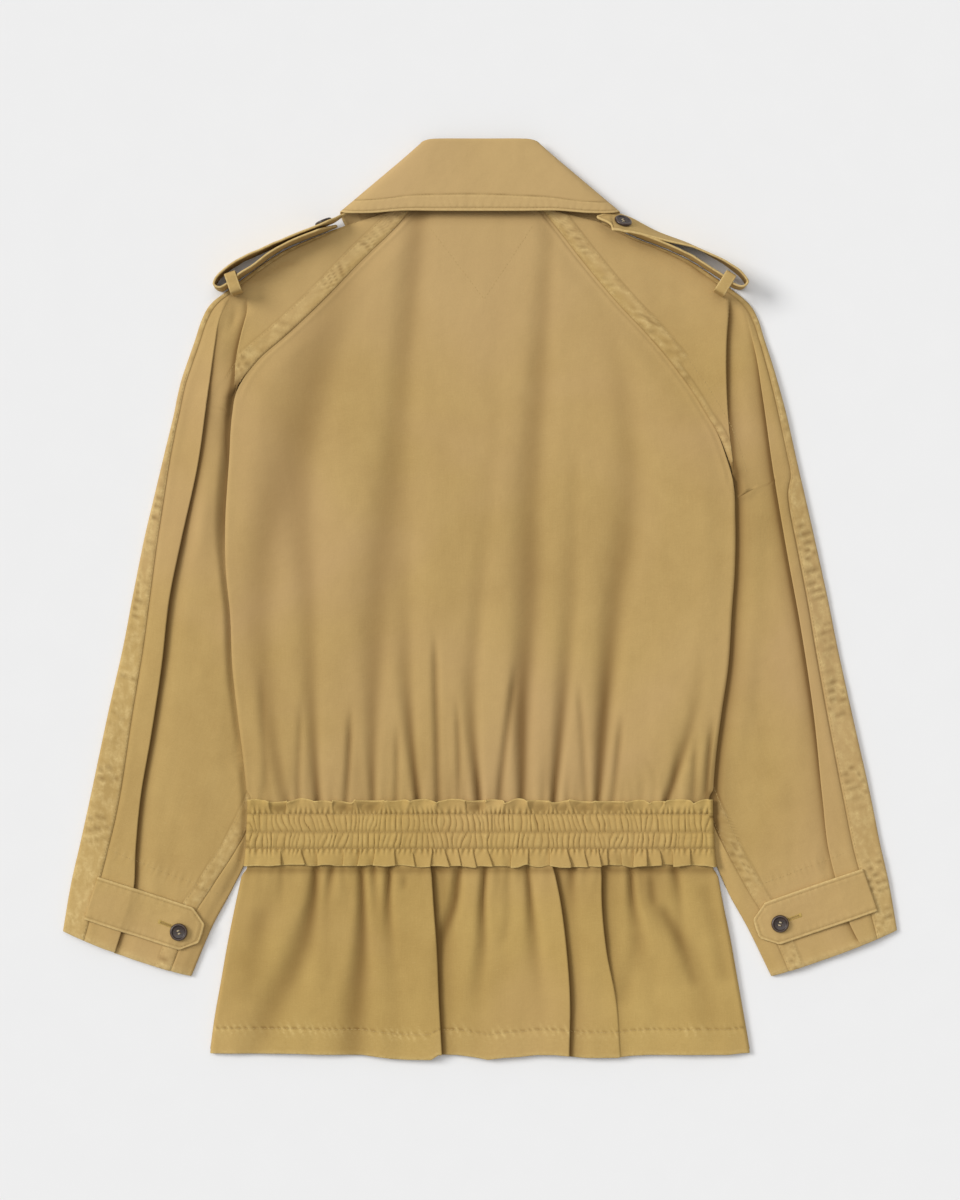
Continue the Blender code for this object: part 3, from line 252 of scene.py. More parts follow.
def side_edge(y, side):
    """Distance from the centre line of the body's side fold, under the sleeve or over it."""
    y = np.asarray(y, float)
    if side == "left":
        top, low = -back_left(y), -peplum_left(y)
    else:
        top, low = back_right(y), peplum_right(y)
    return np.where(y > -205, top, low)


def fold_lines(folds, heights):
    """Each fold as (kind, w, x(y), amp(y))."""
    wide = lambda w: curve(heights, w) if isinstance(w, tuple) else (lambda y: w)
    return [(k, wide(w), curve(heights, xs), curve(heights, amps)) for k, w, xs, amps in folds]


BACK_LINES = fold_lines(BACK_FOLDS, BACK_FOLD_Y)
PEPLUM_LINES = fold_lines(PEPLUM_FOLDS, PEPLUM_FOLD_Y)


def fold_height(kind, w, d, amp, lip=1.2):
    """Height of one fold at signed distance d from its line."""
    d = np.asarray(d, float)
    if kind == 0:
        return -amp * np.exp(-((d / w) ** 2))
    if kind == 1:
        return amp * np.exp(-((d / w) ** 2))
    s = d if kind == 2 else -d          # s < 0 is the side that laps over
    high = 0.4 * amp * np.exp(-((np.minimum(s, 0) / (1.6 * w)) ** 2))
    deep = -0.8 * amp * np.exp(-((np.maximum(s, 0) / w) ** 2))
    t = step((s + lip) / (2 * lip))
    return high * (1 - t) + deep * t


def folds_at(lines, x, y, lip=1.2):
    z = np.zeros(np.broadcast(x, y).shape)
    for kind, w, xf, amp in lines:
        z = z + fold_height(kind, w(y), x - xf(y), np.clip(amp(y), 0, None), lip)
    return z


# ------------------------------------------------------------ layer heights
# Every height is that of the middle of a wall.
FLOOR = CLOTH / 2
LAYER = CLOTH + GAP        # one layer lying on another
EDGE_GAP = 0.32            # half the gap where two panels meet at a side fold
SLEEVE_TUCK = FLOOR + LAYER
OVER_SLEEVE = 2 * LAYER    # the fronts rise over a tucked sleeve


def inner_fold(side):
    table = SLEEVE_LEFT if side == "left" else SLEEVE_RIGHT
    rows = [r for r in table if r[6] == 0]
    return curve([r[3] for r in rows], [r[2] for r in rows])


INNER = {s: inner_fold(s) for s in ("left", "right")}
RISE_TOP = {"left": 144.0, "right": 80.0}
SIGN = {"left": -1, "right": 1}


def over_sleeve(x, y):
    """How far the body's lower layer is lifted by the sleeves tucked under it."""
    z = 0.0
    for side in ("left", "right"):
        out = SIGN[side] * np.asarray(x, float)
        z = z + step((out - INNER[side](y) + 19) / 12) * step((RISE_TOP[side] - y) / 14)
    return OVER_SLEEVE * z


def over_wings(x, y):
    """How far the fronts are lifted by the collar's two ends."""
    return LAYER * step((np.asarray(y, float) - 234) / 12) * step((152 - np.abs(x)) / 8)


def waist(y):
    """1 where the waist strip lies outside the cloth, 0 away from it."""
    y = np.asarray(y, float)
    return step((y + 236) / 7) * step((-162 - y) / 7)


BACK_BASE = curve((337, 290, 230, 150, 60, -40, -110, -142, -163, -178, -215),
                  (5.7, 5.7, 5.5, 5.3, 5.3, 5.5, 6.2, 6.9, 6.9, 6.9, 6.9))
PEPLUM_BASE = curve((-197, -227, -260, -300, -345, -391), (6.9, 6.8, 6.0, 5.7, 5.6, 5.2))
SIDE_LEVEL = curve((337, -160, -185, -228, -262, -320, -391), (5.75, 5.75, 5.9, 5.7, 4.4, 3.2, 2.6))


def back_height(x, y):
    x, y = np.asarray(x, float), np.asarray(y, float)
    fade = step((y + 186) / 16)
    return BACK_BASE(y) + fade * (1.6 * (x / 205.0) ** 2 + folds_at(BACK_LINES, x, y))


def peplum_height(x, y):
    x, y = np.asarray(x, float), np.asarray(y, float)
    return PEPLUM_BASE(y) + step((-212 - y) / 26) * folds_at(PEPLUM_LINES, x, y)


def front_height(x, y, side, is_strip=False):
    """Height of a front; the left one also lies over the right one's lap."""
    x, y = np.asarray(x, float), np.asarray(y, float)
    z = FLOOR + over_sleeve(x, y) + over_wings(x, y)
    if not is_strip:
        z = z + LAYER * waist(y)
        if side == "left":
            z = z + LAYER * step((x + LAP + 9) / 7)
    return z


HEM_X = (-232, -155, -140, -100, -88, -75, -62, -42, -37, -20, -7, 7, 20, 34, 48, 64, 75, 88, 116, 129, 143, 211, 224, 232)
HEM_Y = (-386.6, -386.8, -387.5, -387.8, -389.5, -391.1, HEM, HEM, -387.8, -387.8, -389.4, HEM, -390.2, -389.4, -387.8, -387.7,
         -389.0, -390.2, -390.2, -388.5, -387.7, -387.7, -386.4, -386.0)


def hem(x):
    return np.interp(x, HEM_X, HEM_Y)


FRONT_NECK = ((314, 46), (300, 30), (284, 12), (264, -8), (244, -LAP))
RAGLAN_FRONT = {
    "left": ((314, 48), (304, 58), (291, 72), (277, 86), (262, 99), (246, 112), (227, 125),
             (206, 138), (186, 148), (158, 159), (150, 162), (140, 166), (131, 170), (120, 190), (108, 211)),
    "right": ((314, 46), (304, 55), (291, 66), (277, 78), (262, 90), (244, 103), (226, 115),
              (206, 126), (184, 136), (156, 145), (124, 152), (94, 158), (86, 160), (76, 163),
              (67, 169), (58, 195), (48, 216)),
}


def front_out(y, side):
    table = RAGLAN_FRONT[side][::-1]
    lowest = table[0][0]
    if y < lowest:
        return float(side_edge(y, side)) - 3.2 * float(waist(y))
    return float(np.interp(y, [r[0] for r in table], [r[1] for r in table])) - 0.6


def sleeve_curves(side):
    table = SLEEVE_LEFT if side == "left" else SLEEVE_RIGHT
    index = range(len(table))
    parts = {name: curve(index, [r[k] for r in table]) for k, name in enumerate(SLEEVE_COLUMNS[:-1])}
    share = SEAMS_LEFT if side == "left" else SEAMS_RIGHT
    over = curve([r[0] for r in share], [r[1] for r in share])
    under = curve([r[0] for r in share], [r[2] for r in share])
    first_open = [r[6] for r in table].index(1)
    return parts, over, under, first_open, len(table)


BOW = {"left": 2.6, "right": 2.0}


def cuff_bow(side, t, share):
    """How far the cuff's edge bows out past the straight line between its two corners."""
    return BOW[side] * max(0.0, 1 - t) ** 2 * 4 * share * (1 - share)


PLEAT_LINES = {}
for _side, _table in (("left", PLEATS_LEFT), ("right", PLEATS_RIGHT)):
    PLEAT_LINES[_side] = [
        (k, w, curve([r[1] for r in rows], [r[0] for r in rows]), curve([r[1] for r in rows], [r[2] for r in rows]),
         min(r[1] for r in rows), max(r[1] for r in rows))
        for k, w, rows in _table
    ]


def sleeve_height(side, out, y, from_fold, share, seam_z, is_open):
    """Middle of a sleeve's upper layer at distance out from the centre line."""
    z = 5.2 - 1.6 * np.exp(-from_fold / 12.0)
    for kind, w, xf, amp, y0, y1 in PLEAT_LINES[side]:
        inside = step((y - y0 + 6) / 10) * step((y1 - y + 6) / 10)
        z = z + inside * fold_height(kind, w, xf(y) - out, np.clip(amp(y), 0, None))
    edge = side_edge(np.minimum(y, UNDERARM_Y[side] + 12), side)
    tucked = step((edge + 12.5 - out) / 9) * step((UNDERARM_Y[side] + 7 - y) / 9)
    if is_open:
        z = z + (seam_z - z) * step((share - 0.45) / 0.5)
    z = np.maximum(z, SLEEVE_TUCK + 0.2)
    return z + (SLEEVE_TUCK - z) * tucked


COLLAR_COLUMNS = ("x_fold", "y_fold", "z_fold", "x_edge", "y_edge", "z_edge")
# From the middle of the back round to the end under a front.
COLLAR = (
    (0, 390.4, 12.0, 0, 329.6, 14.6),
    (16, 390.4, 12.0, 34, 329.6, 14.6),
    (30, 390.4, 12.0, 65, 329.8, 14.6),
    (41, 390.1, 11.6, 90, 328.0, 14.2),
    (47, 388.9, 10.4, 107, 327.8, 13.4),
    (50, 387.4, 8.0, 114.8, 328.4, 11.4),
    (50.3, 386.2, 5.4, 118.6, 329.2, 7.8),
    (48.6, 384.4, 2.8, 117.6, 324.6, 2.7),
    (47, 382.6, 1.0, 114.6, 318.6, 0.7),
    (45, 380.0, 0.6, 110.5, 311, 0.6),
    (34, 358, 0.6, 100, 288, 0.6),
    (14, 322, 0.6, 84, 256, 0.6),
)


STRAP_COLUMNS = ("x", "y", "lean")
# Middle of each strap's wall: from the seam at the neck out along the shoulder,
# round the tip and back on top to the pointed end. lean is how far the upper
# long edge is displaced towards the garment.
STRAPS = {
    "left": ((122, 317.6, 0), (137, 311.7, 0), (162, 301.8, 0), (178, 292.8, 0), (192, 282.2, 0), (203, 274.8, 0), (213, 267.0, 0),
             (219.5, 263.2, 0), (224, 264.6, 0), (225, 268, 0), (219, 276, 0), (203, 287.2, 0), (181, 297.4, 0),
             (155, 308.5, 0), (128, 319.2, 0), (117, 326.0, -1.0), (104, 334, 0.0)),
    "right": ((121.5, 314.5, 0), (135.5, 308.5, 0), (159.5, 299.5, 0), (178, 291, 0), (193, 281.4, 0), (204, 274.4, 0), (214, 266.8, 0),
              (221, 264.2, 0), (225.4, 266, 0), (226, 270, 0), (219, 278, 0), (202, 289.8, 1.5), (180, 301.8, 4.0),
              (153, 312.0, 8.0), (128, 324.2, 15.0), (112, 328.0, 16.0), (99.5, 324.2, 1.5)),
}
KEEPERS = {"left": ((206.0, 259.5), (211.8, 276.0)), "right": ((202.6, 259.5), (212.6, 275.5))}
KEEPER_WIDE = 9.0
STRAP_BUTTON = {"left": (13, 0.82), "right": (14, 0.26)}     # between which two rows of the strap


def surface_of_sleeve(side, x, y):
    """Height of the sleeve's upper layer at a place near the cuff."""
    parts, over, under, first_open, count = sleeve_curves(side)
    best = None
    for t in np.linspace(0, 4, 161):
        o = np.array([float(parts["x_out"](t)), float(parts["y_out"](t))])
        p = np.array([float(parts["x_top"](t)), float(parts["y_top"](t))])
        w = float(np.linalg.norm(p - o))
        n = (p - o) / w
        rel = np.array([x, y]) - o
        off = abs(rel[0] * n[1] - rel[1] * n[0])
        if best is None or off < best[0]:
            best = (off, float(np.dot(rel, n)), w)
    off, d, w = best
    return float(sleeve_height(side, x, y, max(d, 0.0), d / w, 0.0, False))


TABS = {
    # middle of the sewn end, middle of the pointed end
    "left": ((330.5, -254.5), (238.5, -284.0)),
    "right": ((331.5, -247.5), (237.0, -280.0)),
}
TAB_COLUMNS = ("along", "half")
TAB_SHAPE = ((0, 19.3), (22, 19.3), (44, 19.3), (64, 19.3), (84, 19.3), (92, 13.5), (98.5, 7.5))
BUTTONS = {
    # x, y from the centre line; cuff buttons lie flat on the tab
    "left": (256.0, -283.0),
    "right": (255.0, -276.0),
}




# ================================================================ fine detail
WALL = 0.9                 # the cloth itself, a little thinner than its frame solid


class Noise:
    """Smooth seeded noise between about -1 and 1, one unit to a cell."""

    def __init__(self, seed, cells=128):
        self.grid = np.random.default_rng(seed).uniform(-1, 1, (cells, cells))
        self.cells = cells

    def __call__(self, x, y):
        x, y = np.broadcast_arrays(np.asarray(x, float), np.asarray(y, float))
        i, j = np.floor(x).astype(int), np.floor(y).astype(int)
        fx, fy = x - i, y - j
        fx, fy = fx**3 * (fx * (6 * fx - 15) + 10), fy**3 * (fy * (6 * fy - 15) + 10)
        n, g = self.cells, self.grid
        a, b = g[i % n, j % n], g[(i + 1) % n, j % n]
        c, d = g[i % n, (j + 1) % n], g[(i + 1) % n, (j + 1) % n]
        return 1.25 * ((a * (1 - fx) + b * fx) * (1 - fy) + (c * (1 - fx) + d * fx) * fy)


def spot(px, py):
    """Sheet units of 0.85 mm, counted from the top left of the laid-out cloth, to mm in the frame."""
    return ((px - 480) * 0.85, (599 - py) * 0.85)


def spots(*pairs):
    return [spot(*p) for p in pairs]


def smooth_line(points, pitch=2.0):
    """A polyline through the points with a point about every pitch mm."""
    p = np.asarray(points, float)
    t = np.concatenate([[0], np.cumsum(np.hypot(*np.diff(p, axis=0).T[:2]))])
    if len(p) == 2:
        n = max(2, int(t[-1] / pitch))
        return np.stack([np.linspace(p[0][k], p[1][k], n) for k in range(p.shape[1])], 1)
    at = np.linspace(0, t[-1], max(3, int(t[-1] / pitch)))
    return np.stack([curve(t, p[:, k])(at) for k in range(p.shape[1])], 1)


def along(line, x, y):
    """For each point its distance from the line (positive on its left), the length along it, and the whole length."""
    x, y = np.broadcast_arrays(np.asarray(x, float), np.asarray(y, float))
    best, side, arc = np.full(x.shape, 1e9), np.ones(x.shape), np.zeros(x.shape)
    total = 0.0
    line = np.asarray(line, float)
    for (x0, y0), (x1, y1) in zip(line[:-1, :2], line[1:, :2]):
        dx, dy = x1 - x0, y1 - y0
        length = math.hypot(dx, dy)
        if length < 1e-6:
            continue
        t = np.clip(((x - x0) * dx + (y - y0) * dy) / length**2, 0, 1)
        d = np.hypot(x - x0 - t * dx, y - y0 - t * dy)
        m = d < best
        best = np.where(m, d, best)
        side = np.where(m, np.where(dx * (y - y0) - dy * (x - x0) >= 0, 1.0, -1.0), side)
        arc = np.where(m, total + t * length, arc)
        total += length
    return best * side, arc, total


def uneven(seed, low, high, least, most):
    """Places from low to high, each least to most after the one before."""
    rng = np.random.default_rng(seed)
    at = [low]
    while at[-1] < high:
        at.append(at[-1] + rng.uniform(least, most))
    return np.array(at)


def phase_of(places, s):
    return np.interp(s, places, 2 * math.pi * np.arange(len(places)))


def crease(x, y, line, w, amp, fade=18.0):
    """A trough (amp below 0) or ridge along a line, fading out at both ends."""
    d, s, total = along(smooth_line(line, 6.0), x, y)
    ends = step(s / fade) * step((total - s) / fade)
    return amp * np.exp(-((d / w) ** 2)) * ends


def puckered(d, s, w, seed, amp=0.42, body=0.5, pitch=(5.0, 9.0), slant=0.5):
    """A felled band from d = 0 to w: (height, wear, painted shade) with puckers between its two rows of stitches; the
    shade is painted in the valleys between puckers.
    """
    places = uneven(seed, -30, 900, *pitch)
    n = Noise(seed + 1)
    lean = slant * (d - w / 2) * n(s / 30, 3.3)
    ph = phase_of(places, s + lean + 1.2 * n(s / 9, d / 7))
    inside = step((d + 0.6) / 1.6) * step((w - d + 0.6) / 1.6)
    arch = np.clip(np.sin(math.pi * np.clip(d / w, 0, 1)), 0, 1) ** 0.55
    wave = 0.5 + 0.5 * np.cos(ph)
    size = np.clip(0.50 + 0.85 * n(s / 14, 7.7), 0.05, 1.2)
    z = inside * (body + amp * size * (wave + 0.5 * n(s / 6, 20 + d / 6)) * arch)
    z = z - 0.32 * np.exp(-((d - 1.4) / 0.9) ** 2) - 0.32 * np.exp(-((d - w + 1.2) / 0.9) ** 2)
    wear = inside * np.clip(0.24 + 0.55 * size * arch * np.clip(wave - 0.45, 0, 1) * 1.5 + 0.42 * n(s / 5.5, d / 4.0) + 0.25 * n(s / 2.6, 9 + d / 2.2), 0, 1)
    # Painted shade in the valleys between the puckers.
    painted_shade = inside * arch * size * np.clip(0.35 - wave, 0, 1) * 1.5
    return z, wear, painted_shade


def at_least(z, low, soft=0.35):
    """z, but never below low, rounded where the two meet."""
    return soft * np.logaddexp(z / soft, low / soft)


# ------------------------------------------------------------------- mesh making
def length_coordinates(P):
    """Length across and along a grid from its middle, in metres: the cloth's own coordinates."""
    across = np.linalg.norm(np.diff(P, axis=1), axis=2)
    U = np.concatenate([np.zeros((len(P), 1)), np.cumsum(across, axis=1)], axis=1)
    U = U - U[:, P.shape[1] // 2][:, None]
    down = np.linalg.norm(np.diff(P[:, P.shape[1] // 2], axis=0), axis=1)
    V = np.concatenate([[0], np.cumsum(down)])
    return np.stack([U, np.broadcast_to(V[:, None], U.shape), np.zeros(U.shape)], -1) / 1000


def area_of(P):
    a = P[1:, :-1] - P[:-1, :-1]
    b = P[:-1, 1:] - P[:-1, :-1]
    return float(np.linalg.norm(np.cross(a, b), axis=2).sum()) / 1e6


SHEETS = {}


def link(name, verts, faces, mat, wear_and_painted_shade=None, grain=None):
    mesh = bpy.data.meshes.new(name)
    mesh.from_pydata([tuple(v) for v in (np.asarray(verts) / 1000).tolist()], [], faces)
    mesh.materials.append(mat)
    if wear_and_painted_shade is not None:
        # Per-point colour data: wear, painted shade and two tints.
        layer = mesh.color_attributes.new("wear_and_painted_shade", "FLOAT_COLOR", "POINT")
        layer.data.foreach_set("color", np.asarray(wear_and_painted_shade, np.float32).ravel())
    if grain is not None:
        layer = mesh.attributes.new("grain", "FLOAT_VECTOR", "POINT")
        layer.data.foreach_set("vector", np.asarray(grain, np.float32).ravel())
    obj = bpy.data.objects.new(name, mesh)
    bpy.context.scene.collection.objects.link(obj)
    mesh.shade_smooth()
    return obj


def unit(v):
    return v / np.maximum(np.linalg.norm(v, axis=-1, keepdims=True), 1e-9)


def sheet_mesh(name, P, mat, wall=WALL, wear=0.0, painted_shade=0.0, pale=0.0, flip=False, gold=0.0):
    """A closed cloth shell on a grid of points in mm, with a rounded cut edge all round."""
    P = np.asarray(P, float)
    n, m = P.shape[:2]
    N = unit(np.cross(np.gradient(P, axis=0), np.gradient(P, axis=1)))
    if flip:
        N = -N
    half = np.asarray(wall, float) / 2
    if half.ndim:
        half = half[..., None]
    top, low = P + N * half, P - N * half
    # Colour channels per point: wear, painted shade, a paler tint, and one less the golden tint.
    wear_and_painted_shade = np.zeros((n, m, 4))
    wear_and_painted_shade[..., 0] = np.clip(wear, 0, 1)
    wear_and_painted_shade[..., 1] = np.clip(painted_shade, 0, 1)
    wear_and_painted_shade[..., 2] = np.clip(pale, 0, 1)
    wear_and_painted_shade[..., 3] = 1 - np.clip(gold, 0, 1)
    grain = length_coordinates(P)
    index = np.arange(n * m).reshape(n, m)
    a, b = index[:-1, :-1], index[1:, :-1]
    c, d = index[1:, 1:], index[:-1, 1:]
    quads = np.stack([a, b, c, d], -1).reshape(-1, 4)
    if flip:
        quads = quads[:, ::-1]
    faces = [quads, quads[:, ::-1] + n * m]
    # The rim: a middle line pushed out a little past the edge.
    ring = np.concatenate([index[0, :-1], index[:-1, -1], index[-1, :0:-1], index[:0:-1, 0]])
    inner = np.concatenate([index[1, :-1], index[:-1, -2], index[-2, :0:-1], index[:0:-1, 1]])
    flat = P.reshape(-1, 3)
    h = np.broadcast_to(half, (n, m, 1) if np.ndim(half) else ()).reshape(-1, 1)[ring] if np.ndim(half) else half
    rim = flat[ring] + unit(flat[ring] - flat[inner]) * h * 0.8
    base = 2 * n * m
    k = np.arange(len(ring))
    nxt = (k + 1) % len(ring)
    upper = np.stack([ring[k], ring[nxt], base + nxt, base + k], -1)
    lower = np.stack([base + k, base + nxt, ring[nxt] + n * m, ring[k] + n * m], -1)
    if flip:
        upper, lower = upper[:, ::-1], lower[:, ::-1]
    faces += [upper, lower]
    verts = np.concatenate([top.reshape(-1, 3), low.reshape(-1, 3), rim])
    every = lambda A: np.concatenate([A.reshape(n * m, -1), A.reshape(n * m, -1), A.reshape(n * m, -1)[ring]])
    obj = link(name, verts, np.concatenate(faces).tolist(), mat, every(wear_and_painted_shade), every(grain))
    SHEETS[name] = (area_of(P), P)
    return obj


def columns_by(low, high, count, marks, extra=4.0, reach=4.0):
    """count places from low to high, closer together near the marks."""
    x = np.linspace(low, high, 1400)
    density = np.ones_like(x)
    for mark in marks:
        density += extra * np.exp(-(((x - mark) / reach) ** 2))
    total = np.concatenate([[0], np.cumsum((density[1:] + density[:-1]) / 2)])
    return np.interp(np.linspace(0, total[-1], count), total, x)


def fold_shape(kind, w, d, amp, lip=1.3, lap=0.85):
    """Height and sideways shift of a fold; kinds 2 and 3 lap over."""
    if kind == 0:
        return -amp * np.exp(-(np.abs(d / w) ** 2.2)), 0.0 * d
    z = fold_height(kind, w, d, amp, lip)
    if kind < 2:
        return z, 0.0 * z
    shift = -lap * np.clip(amp, 0, 2.8) * np.tanh(d / (0.7 * lip)) * np.exp(-((d / (0.55 * w)) ** 2))
    return z, shift


def hollow_of(kind, w, d, amp):
    """How hollow a fold is, 0 to 1: most in the middle of a trough, or close under a lap; this sets how much shade is
    painted there.
    """
    if kind == 1:
        return 0.0 * d
    if kind == 0:
        return np.clip(amp / 3.4, 0, 1.15) * np.exp(-(np.abs(d / (0.82 * w)) ** 2.0))
    s = d if kind == 2 else -d
    far = np.clip(s - 0.95 * np.clip(amp, 0, 2.8), 0, None)      # what shows starts past the lap
    return np.clip(amp / 2.6, 0, 1.15) * step((s + 0.7) / 1.2) * (0.72 * np.exp(-((far / 2.6) ** 2)) + 0.42 * np.exp(-((far / (0.85 * w)) ** 2)))


def folded(lines, x, y, **how):
    z, dx, hollow = np.zeros(np.shape(x)), np.zeros(np.shape(x)), np.zeros(np.shape(x))
    for kind, w, xf, amp in lines:
        d, high = x - xf(y), np.clip(amp(y), 0, None)
        a, b = fold_shape(kind, w(y), d, high, **how)
        z, dx, hollow = z + a, dx + b, hollow + hollow_of(kind, w(y), d, high)
    return z, dx, hollow


def minor_folds(x, y, seed, start, low, high, gap, reach, sizes, w=(2.6, 4.6), down=True, slant=0.12):
    """Small uneven gathers that run from the line y = start and die out."""
    rng = np.random.default_rng(seed)
    z = np.zeros(np.shape(x))
    at = low
    while at < high:
        size, long_, wide, lean = rng.uniform(*sizes), rng.uniform(*reach), rng.uniform(*w), rng.uniform(-slant, slant)
        run = (start - y) if down else (y - start)
        run = np.clip(run, 0, None)
        z = z - size * np.exp(-(((x - at - lean * run) / (wide + 0.05 * run)) ** 2)) * np.exp(-((run / long_) ** 1.6))
        at += rng.uniform(*gap)
    return z


# ==================================================================== materials
def linear(r, g, b):
    """A display colour 0-255 as linear numbers."""
    out = []
    for c in (r, g, b):
        c /= 255
        out.append(c / 12.92 if c <= 0.04045 else ((c + 0.055) / 1.055) ** 2.4)
    return (*out, 1.0)


class Net:
    """Short ways to wire a material's nodes."""

    def __init__(self, mat):
        mat.use_nodes = True
        self.tree = mat.node_tree
        self.shader = self.tree.nodes["Principled BSDF"]

    def node(self, kind, **settings):
        made = self.tree.nodes.new(kind)
        for key, value in settings.items():
            setattr(made, key, value)
        return made

    def put(self, socket, value):
        if hasattr(value, "is_output"):
            self.tree.links.new(value, socket)
        else:
            socket.default_value = value

    def math(self, kind, a, b=0.5, clamp=False):
        made = self.node("ShaderNodeMath", operation=kind, use_clamp=clamp)
        self.put(made.inputs[0], a)
        self.put(made.inputs[1], b)
        return made.outputs[0]

    def scaled(self, vector, by):
        made = self.node("ShaderNodeVectorMath", operation="MULTIPLY")
        self.put(made.inputs[0], vector)
        self.put(made.inputs[1], by)
        return made.outputs[0]

    def noise(self, vector, scale, detail=2.0, rough=0.5, distortion=0.0):
        made = self.node("ShaderNodeTexNoise")
        self.put(made.inputs["Vector"], vector)
        self.put(made.inputs["Scale"], scale)
        self.put(made.inputs["Detail"], detail)
        self.put(made.inputs["Roughness"], rough)
        self.put(made.inputs["Distortion"], distortion)
        return made.outputs["Fac"]

    def mix(self, factor, a, b, blend="MIX"):
        made = self.node("ShaderNodeMix", data_type="RGBA", blend_type=blend)
        self.put(made.inputs[0], factor)
        self.put(made.inputs[6], a)
        self.put(made.inputs[7], b)
        return made.outputs[2]

    def between(self, value, low, high, to_low=0.0, to_high=1.0):
        made = self.node("ShaderNodeMapRange", clamp=True)
        for socket, v in zip(made.inputs[:5], (value, low, high, to_low, to_high)):
            self.put(socket, v)
        return made.outputs[0]

    def parts(self, vector):
        made = self.node("ShaderNodeSeparateXYZ")
        self.put(made.inputs[0], vector)
        return made.outputs

    def bump(self, height, strength, distance, normal=None):
        made = self.node("ShaderNodeBump")
        made.inputs["Strength"].default_value = strength
        made.inputs["Distance"].default_value = distance
        self.put(made.inputs["Height"], height)
        if normal is not None:
            self.put(made.inputs["Normal"], normal)
        return made.outputs[0]


def cloth_material(name, tone=1.0, twill=1.0):
    """Garment-dyed cotton twill: wales and uneven yarn in the cloth's own coordinates, dye mottle, worn seams, and
    painted shade in folds, hollows and stitch grooves.
    """
    mat = bpy.data.materials.new(name)
    net = Net(mat)
    grain = net.node("ShaderNodeAttribute", attribute_name="grain").outputs["Vector"]
    place = net.node("ShaderNodeTexCoord").outputs["Object"]
    wear_and_painted_shade = net.node("ShaderNodeSeparateColor")
    channels = net.node("ShaderNodeAttribute", attribute_name="wear_and_painted_shade")
    net.put(wear_and_painted_shade.inputs[0], channels.outputs["Color"])
    gold = net.math("SUBTRACT", 1.0, channels.outputs["Alpha"], clamp=True)
    wear, painted_shade, pale = wear_and_painted_shade.outputs[0], wear_and_painted_shade.outputs[1], wear_and_painted_shade.outputs[2]
    u, v, _ = net.parts(grain)

    broad = net.noise(place, 7.5, 3.0, 0.55)
    cloudy = net.noise(place, 38.0, 4.0, 0.6)
    specks = net.noise(net.scaled(grain, (1.0, 1.0, 1.0)), 850.0, 2.0, 0.6)
    weft = net.noise(net.scaled(grain, (110.0, 1500.0, 1.0)), 1.0, 2.0, 0.6)
    warp = net.noise(net.scaled(grain, (1500.0, 45.0, 1.0)), 1.0, 2.0, 0.6)
    slub = net.between(net.noise(net.scaled(grain, (190.0, 1100.0, 1.0)), 1.0, 1.0, 0.5), 0.68, 0.80)

    tone_ = net.math("MULTIPLY", net.math("SUBTRACT", broad, 0.5), 0.9)
    tone_ = net.math("ADD", tone_, net.math("MULTIPLY", net.math("SUBTRACT", cloudy, 0.5), 0.55))
    tone_ = net.math("ADD", tone_, net.math("MULTIPLY", net.math("SUBTRACT", specks, 0.5), 0.50))
    tone_ = net.math("ADD", tone_, net.math("MULTIPLY", net.math("SUBTRACT", weft, 0.5), 0.34))
    tone_ = net.math("ADD", tone_, net.math("MULTIPLY", net.math("SUBTRACT", warp, 0.5), 0.34))
    tone_ = net.math("ADD", tone_, 0.5, clamp=True)
    low = linear(168 * tone, 137 * tone, 82 * tone)
    high = linear(194 * tone, 164 * tone, 104 * tone)
    colour = net.mix(tone_, low, high)
    rosy = net.between(net.noise(place, 5.2, 2.0, 0.5, 0.6), 0.42, 0.66, 0.0, 0.55)
    colour = net.mix(rosy, colour, linear(191, 158, 111))
    # A paler, less saturated tint where set; on the collar leaf it is painted light.
    colour = net.mix(net.math("MULTIPLY", pale, 0.62), colour, linear(196, 166, 119))
    colour = net.mix(net.math("MULTIPLY", slub, 0.22), colour, linear(208, 182, 128))
    broken = net.between(net.noise(place, 420.0, 3.0, 0.65), 0.34, 0.66, 0.35, 1.25)
    worn = net.math("MULTIPLY", wear, broken, clamp=True)
    colour = net.mix(net.math("MULTIPLY", worn, 0.78), colour, linear(211, 184, 126))
    # Painted shade: the colour darkens towards brown where the painted-shade channel is set, in fold hollows, creases,
    # stitch grooves and under lapping parts.
    colour = net.mix(net.math("MULTIPLY", painted_shade, 0.80), colour, linear(106, 76, 36))
    colour = net.mix(gold, colour, (1.0, 0.995, 0.84, 1.0), "MULTIPLY")
    net.put(net.shader.inputs["Base Color"], colour)

    wale = net.math("SINE", net.math("MULTIPLY", net.math("ADD", u, v), 2 * math.pi / 0.00062))
    yarn = net.math("SINE", net.math("MULTIPLY", u, 2 * math.pi / 0.00037))
    height = net.math("ADD", net.math("MULTIPLY", wale, 0.10 * twill), net.math("MULTIPLY", yarn, 0.04))
    height = net.math("ADD", height, net.math("MULTIPLY", specks, 0.9))
    height = net.math("ADD", height, net.math("MULTIPLY", weft, 0.5))
    height = net.math("ADD", height, net.math("MULTIPLY", slub, 0.35))
    soft = net.bump(net.noise(place, 95.0, 3.0, 0.5), 0.5, 0.0008)
    net.put(net.shader.inputs["Normal"], net.bump(height, 0.55, 0.00022, soft))
    rough = net.between(specks, 0.3, 0.7, 0.82, 0.96)
    net.put(net.shader.inputs["Roughness"], rough)
    net.shader.inputs["Specular IOR Level"].default_value = 0.18
    net.shader.inputs["Sheen Weight"].default_value = 0.06
    net.shader.inputs["Sheen Roughness"].default_value = 0.5
    net.shader.inputs["Sheen Tint"].default_value = linear(226, 206, 160)
    return mat


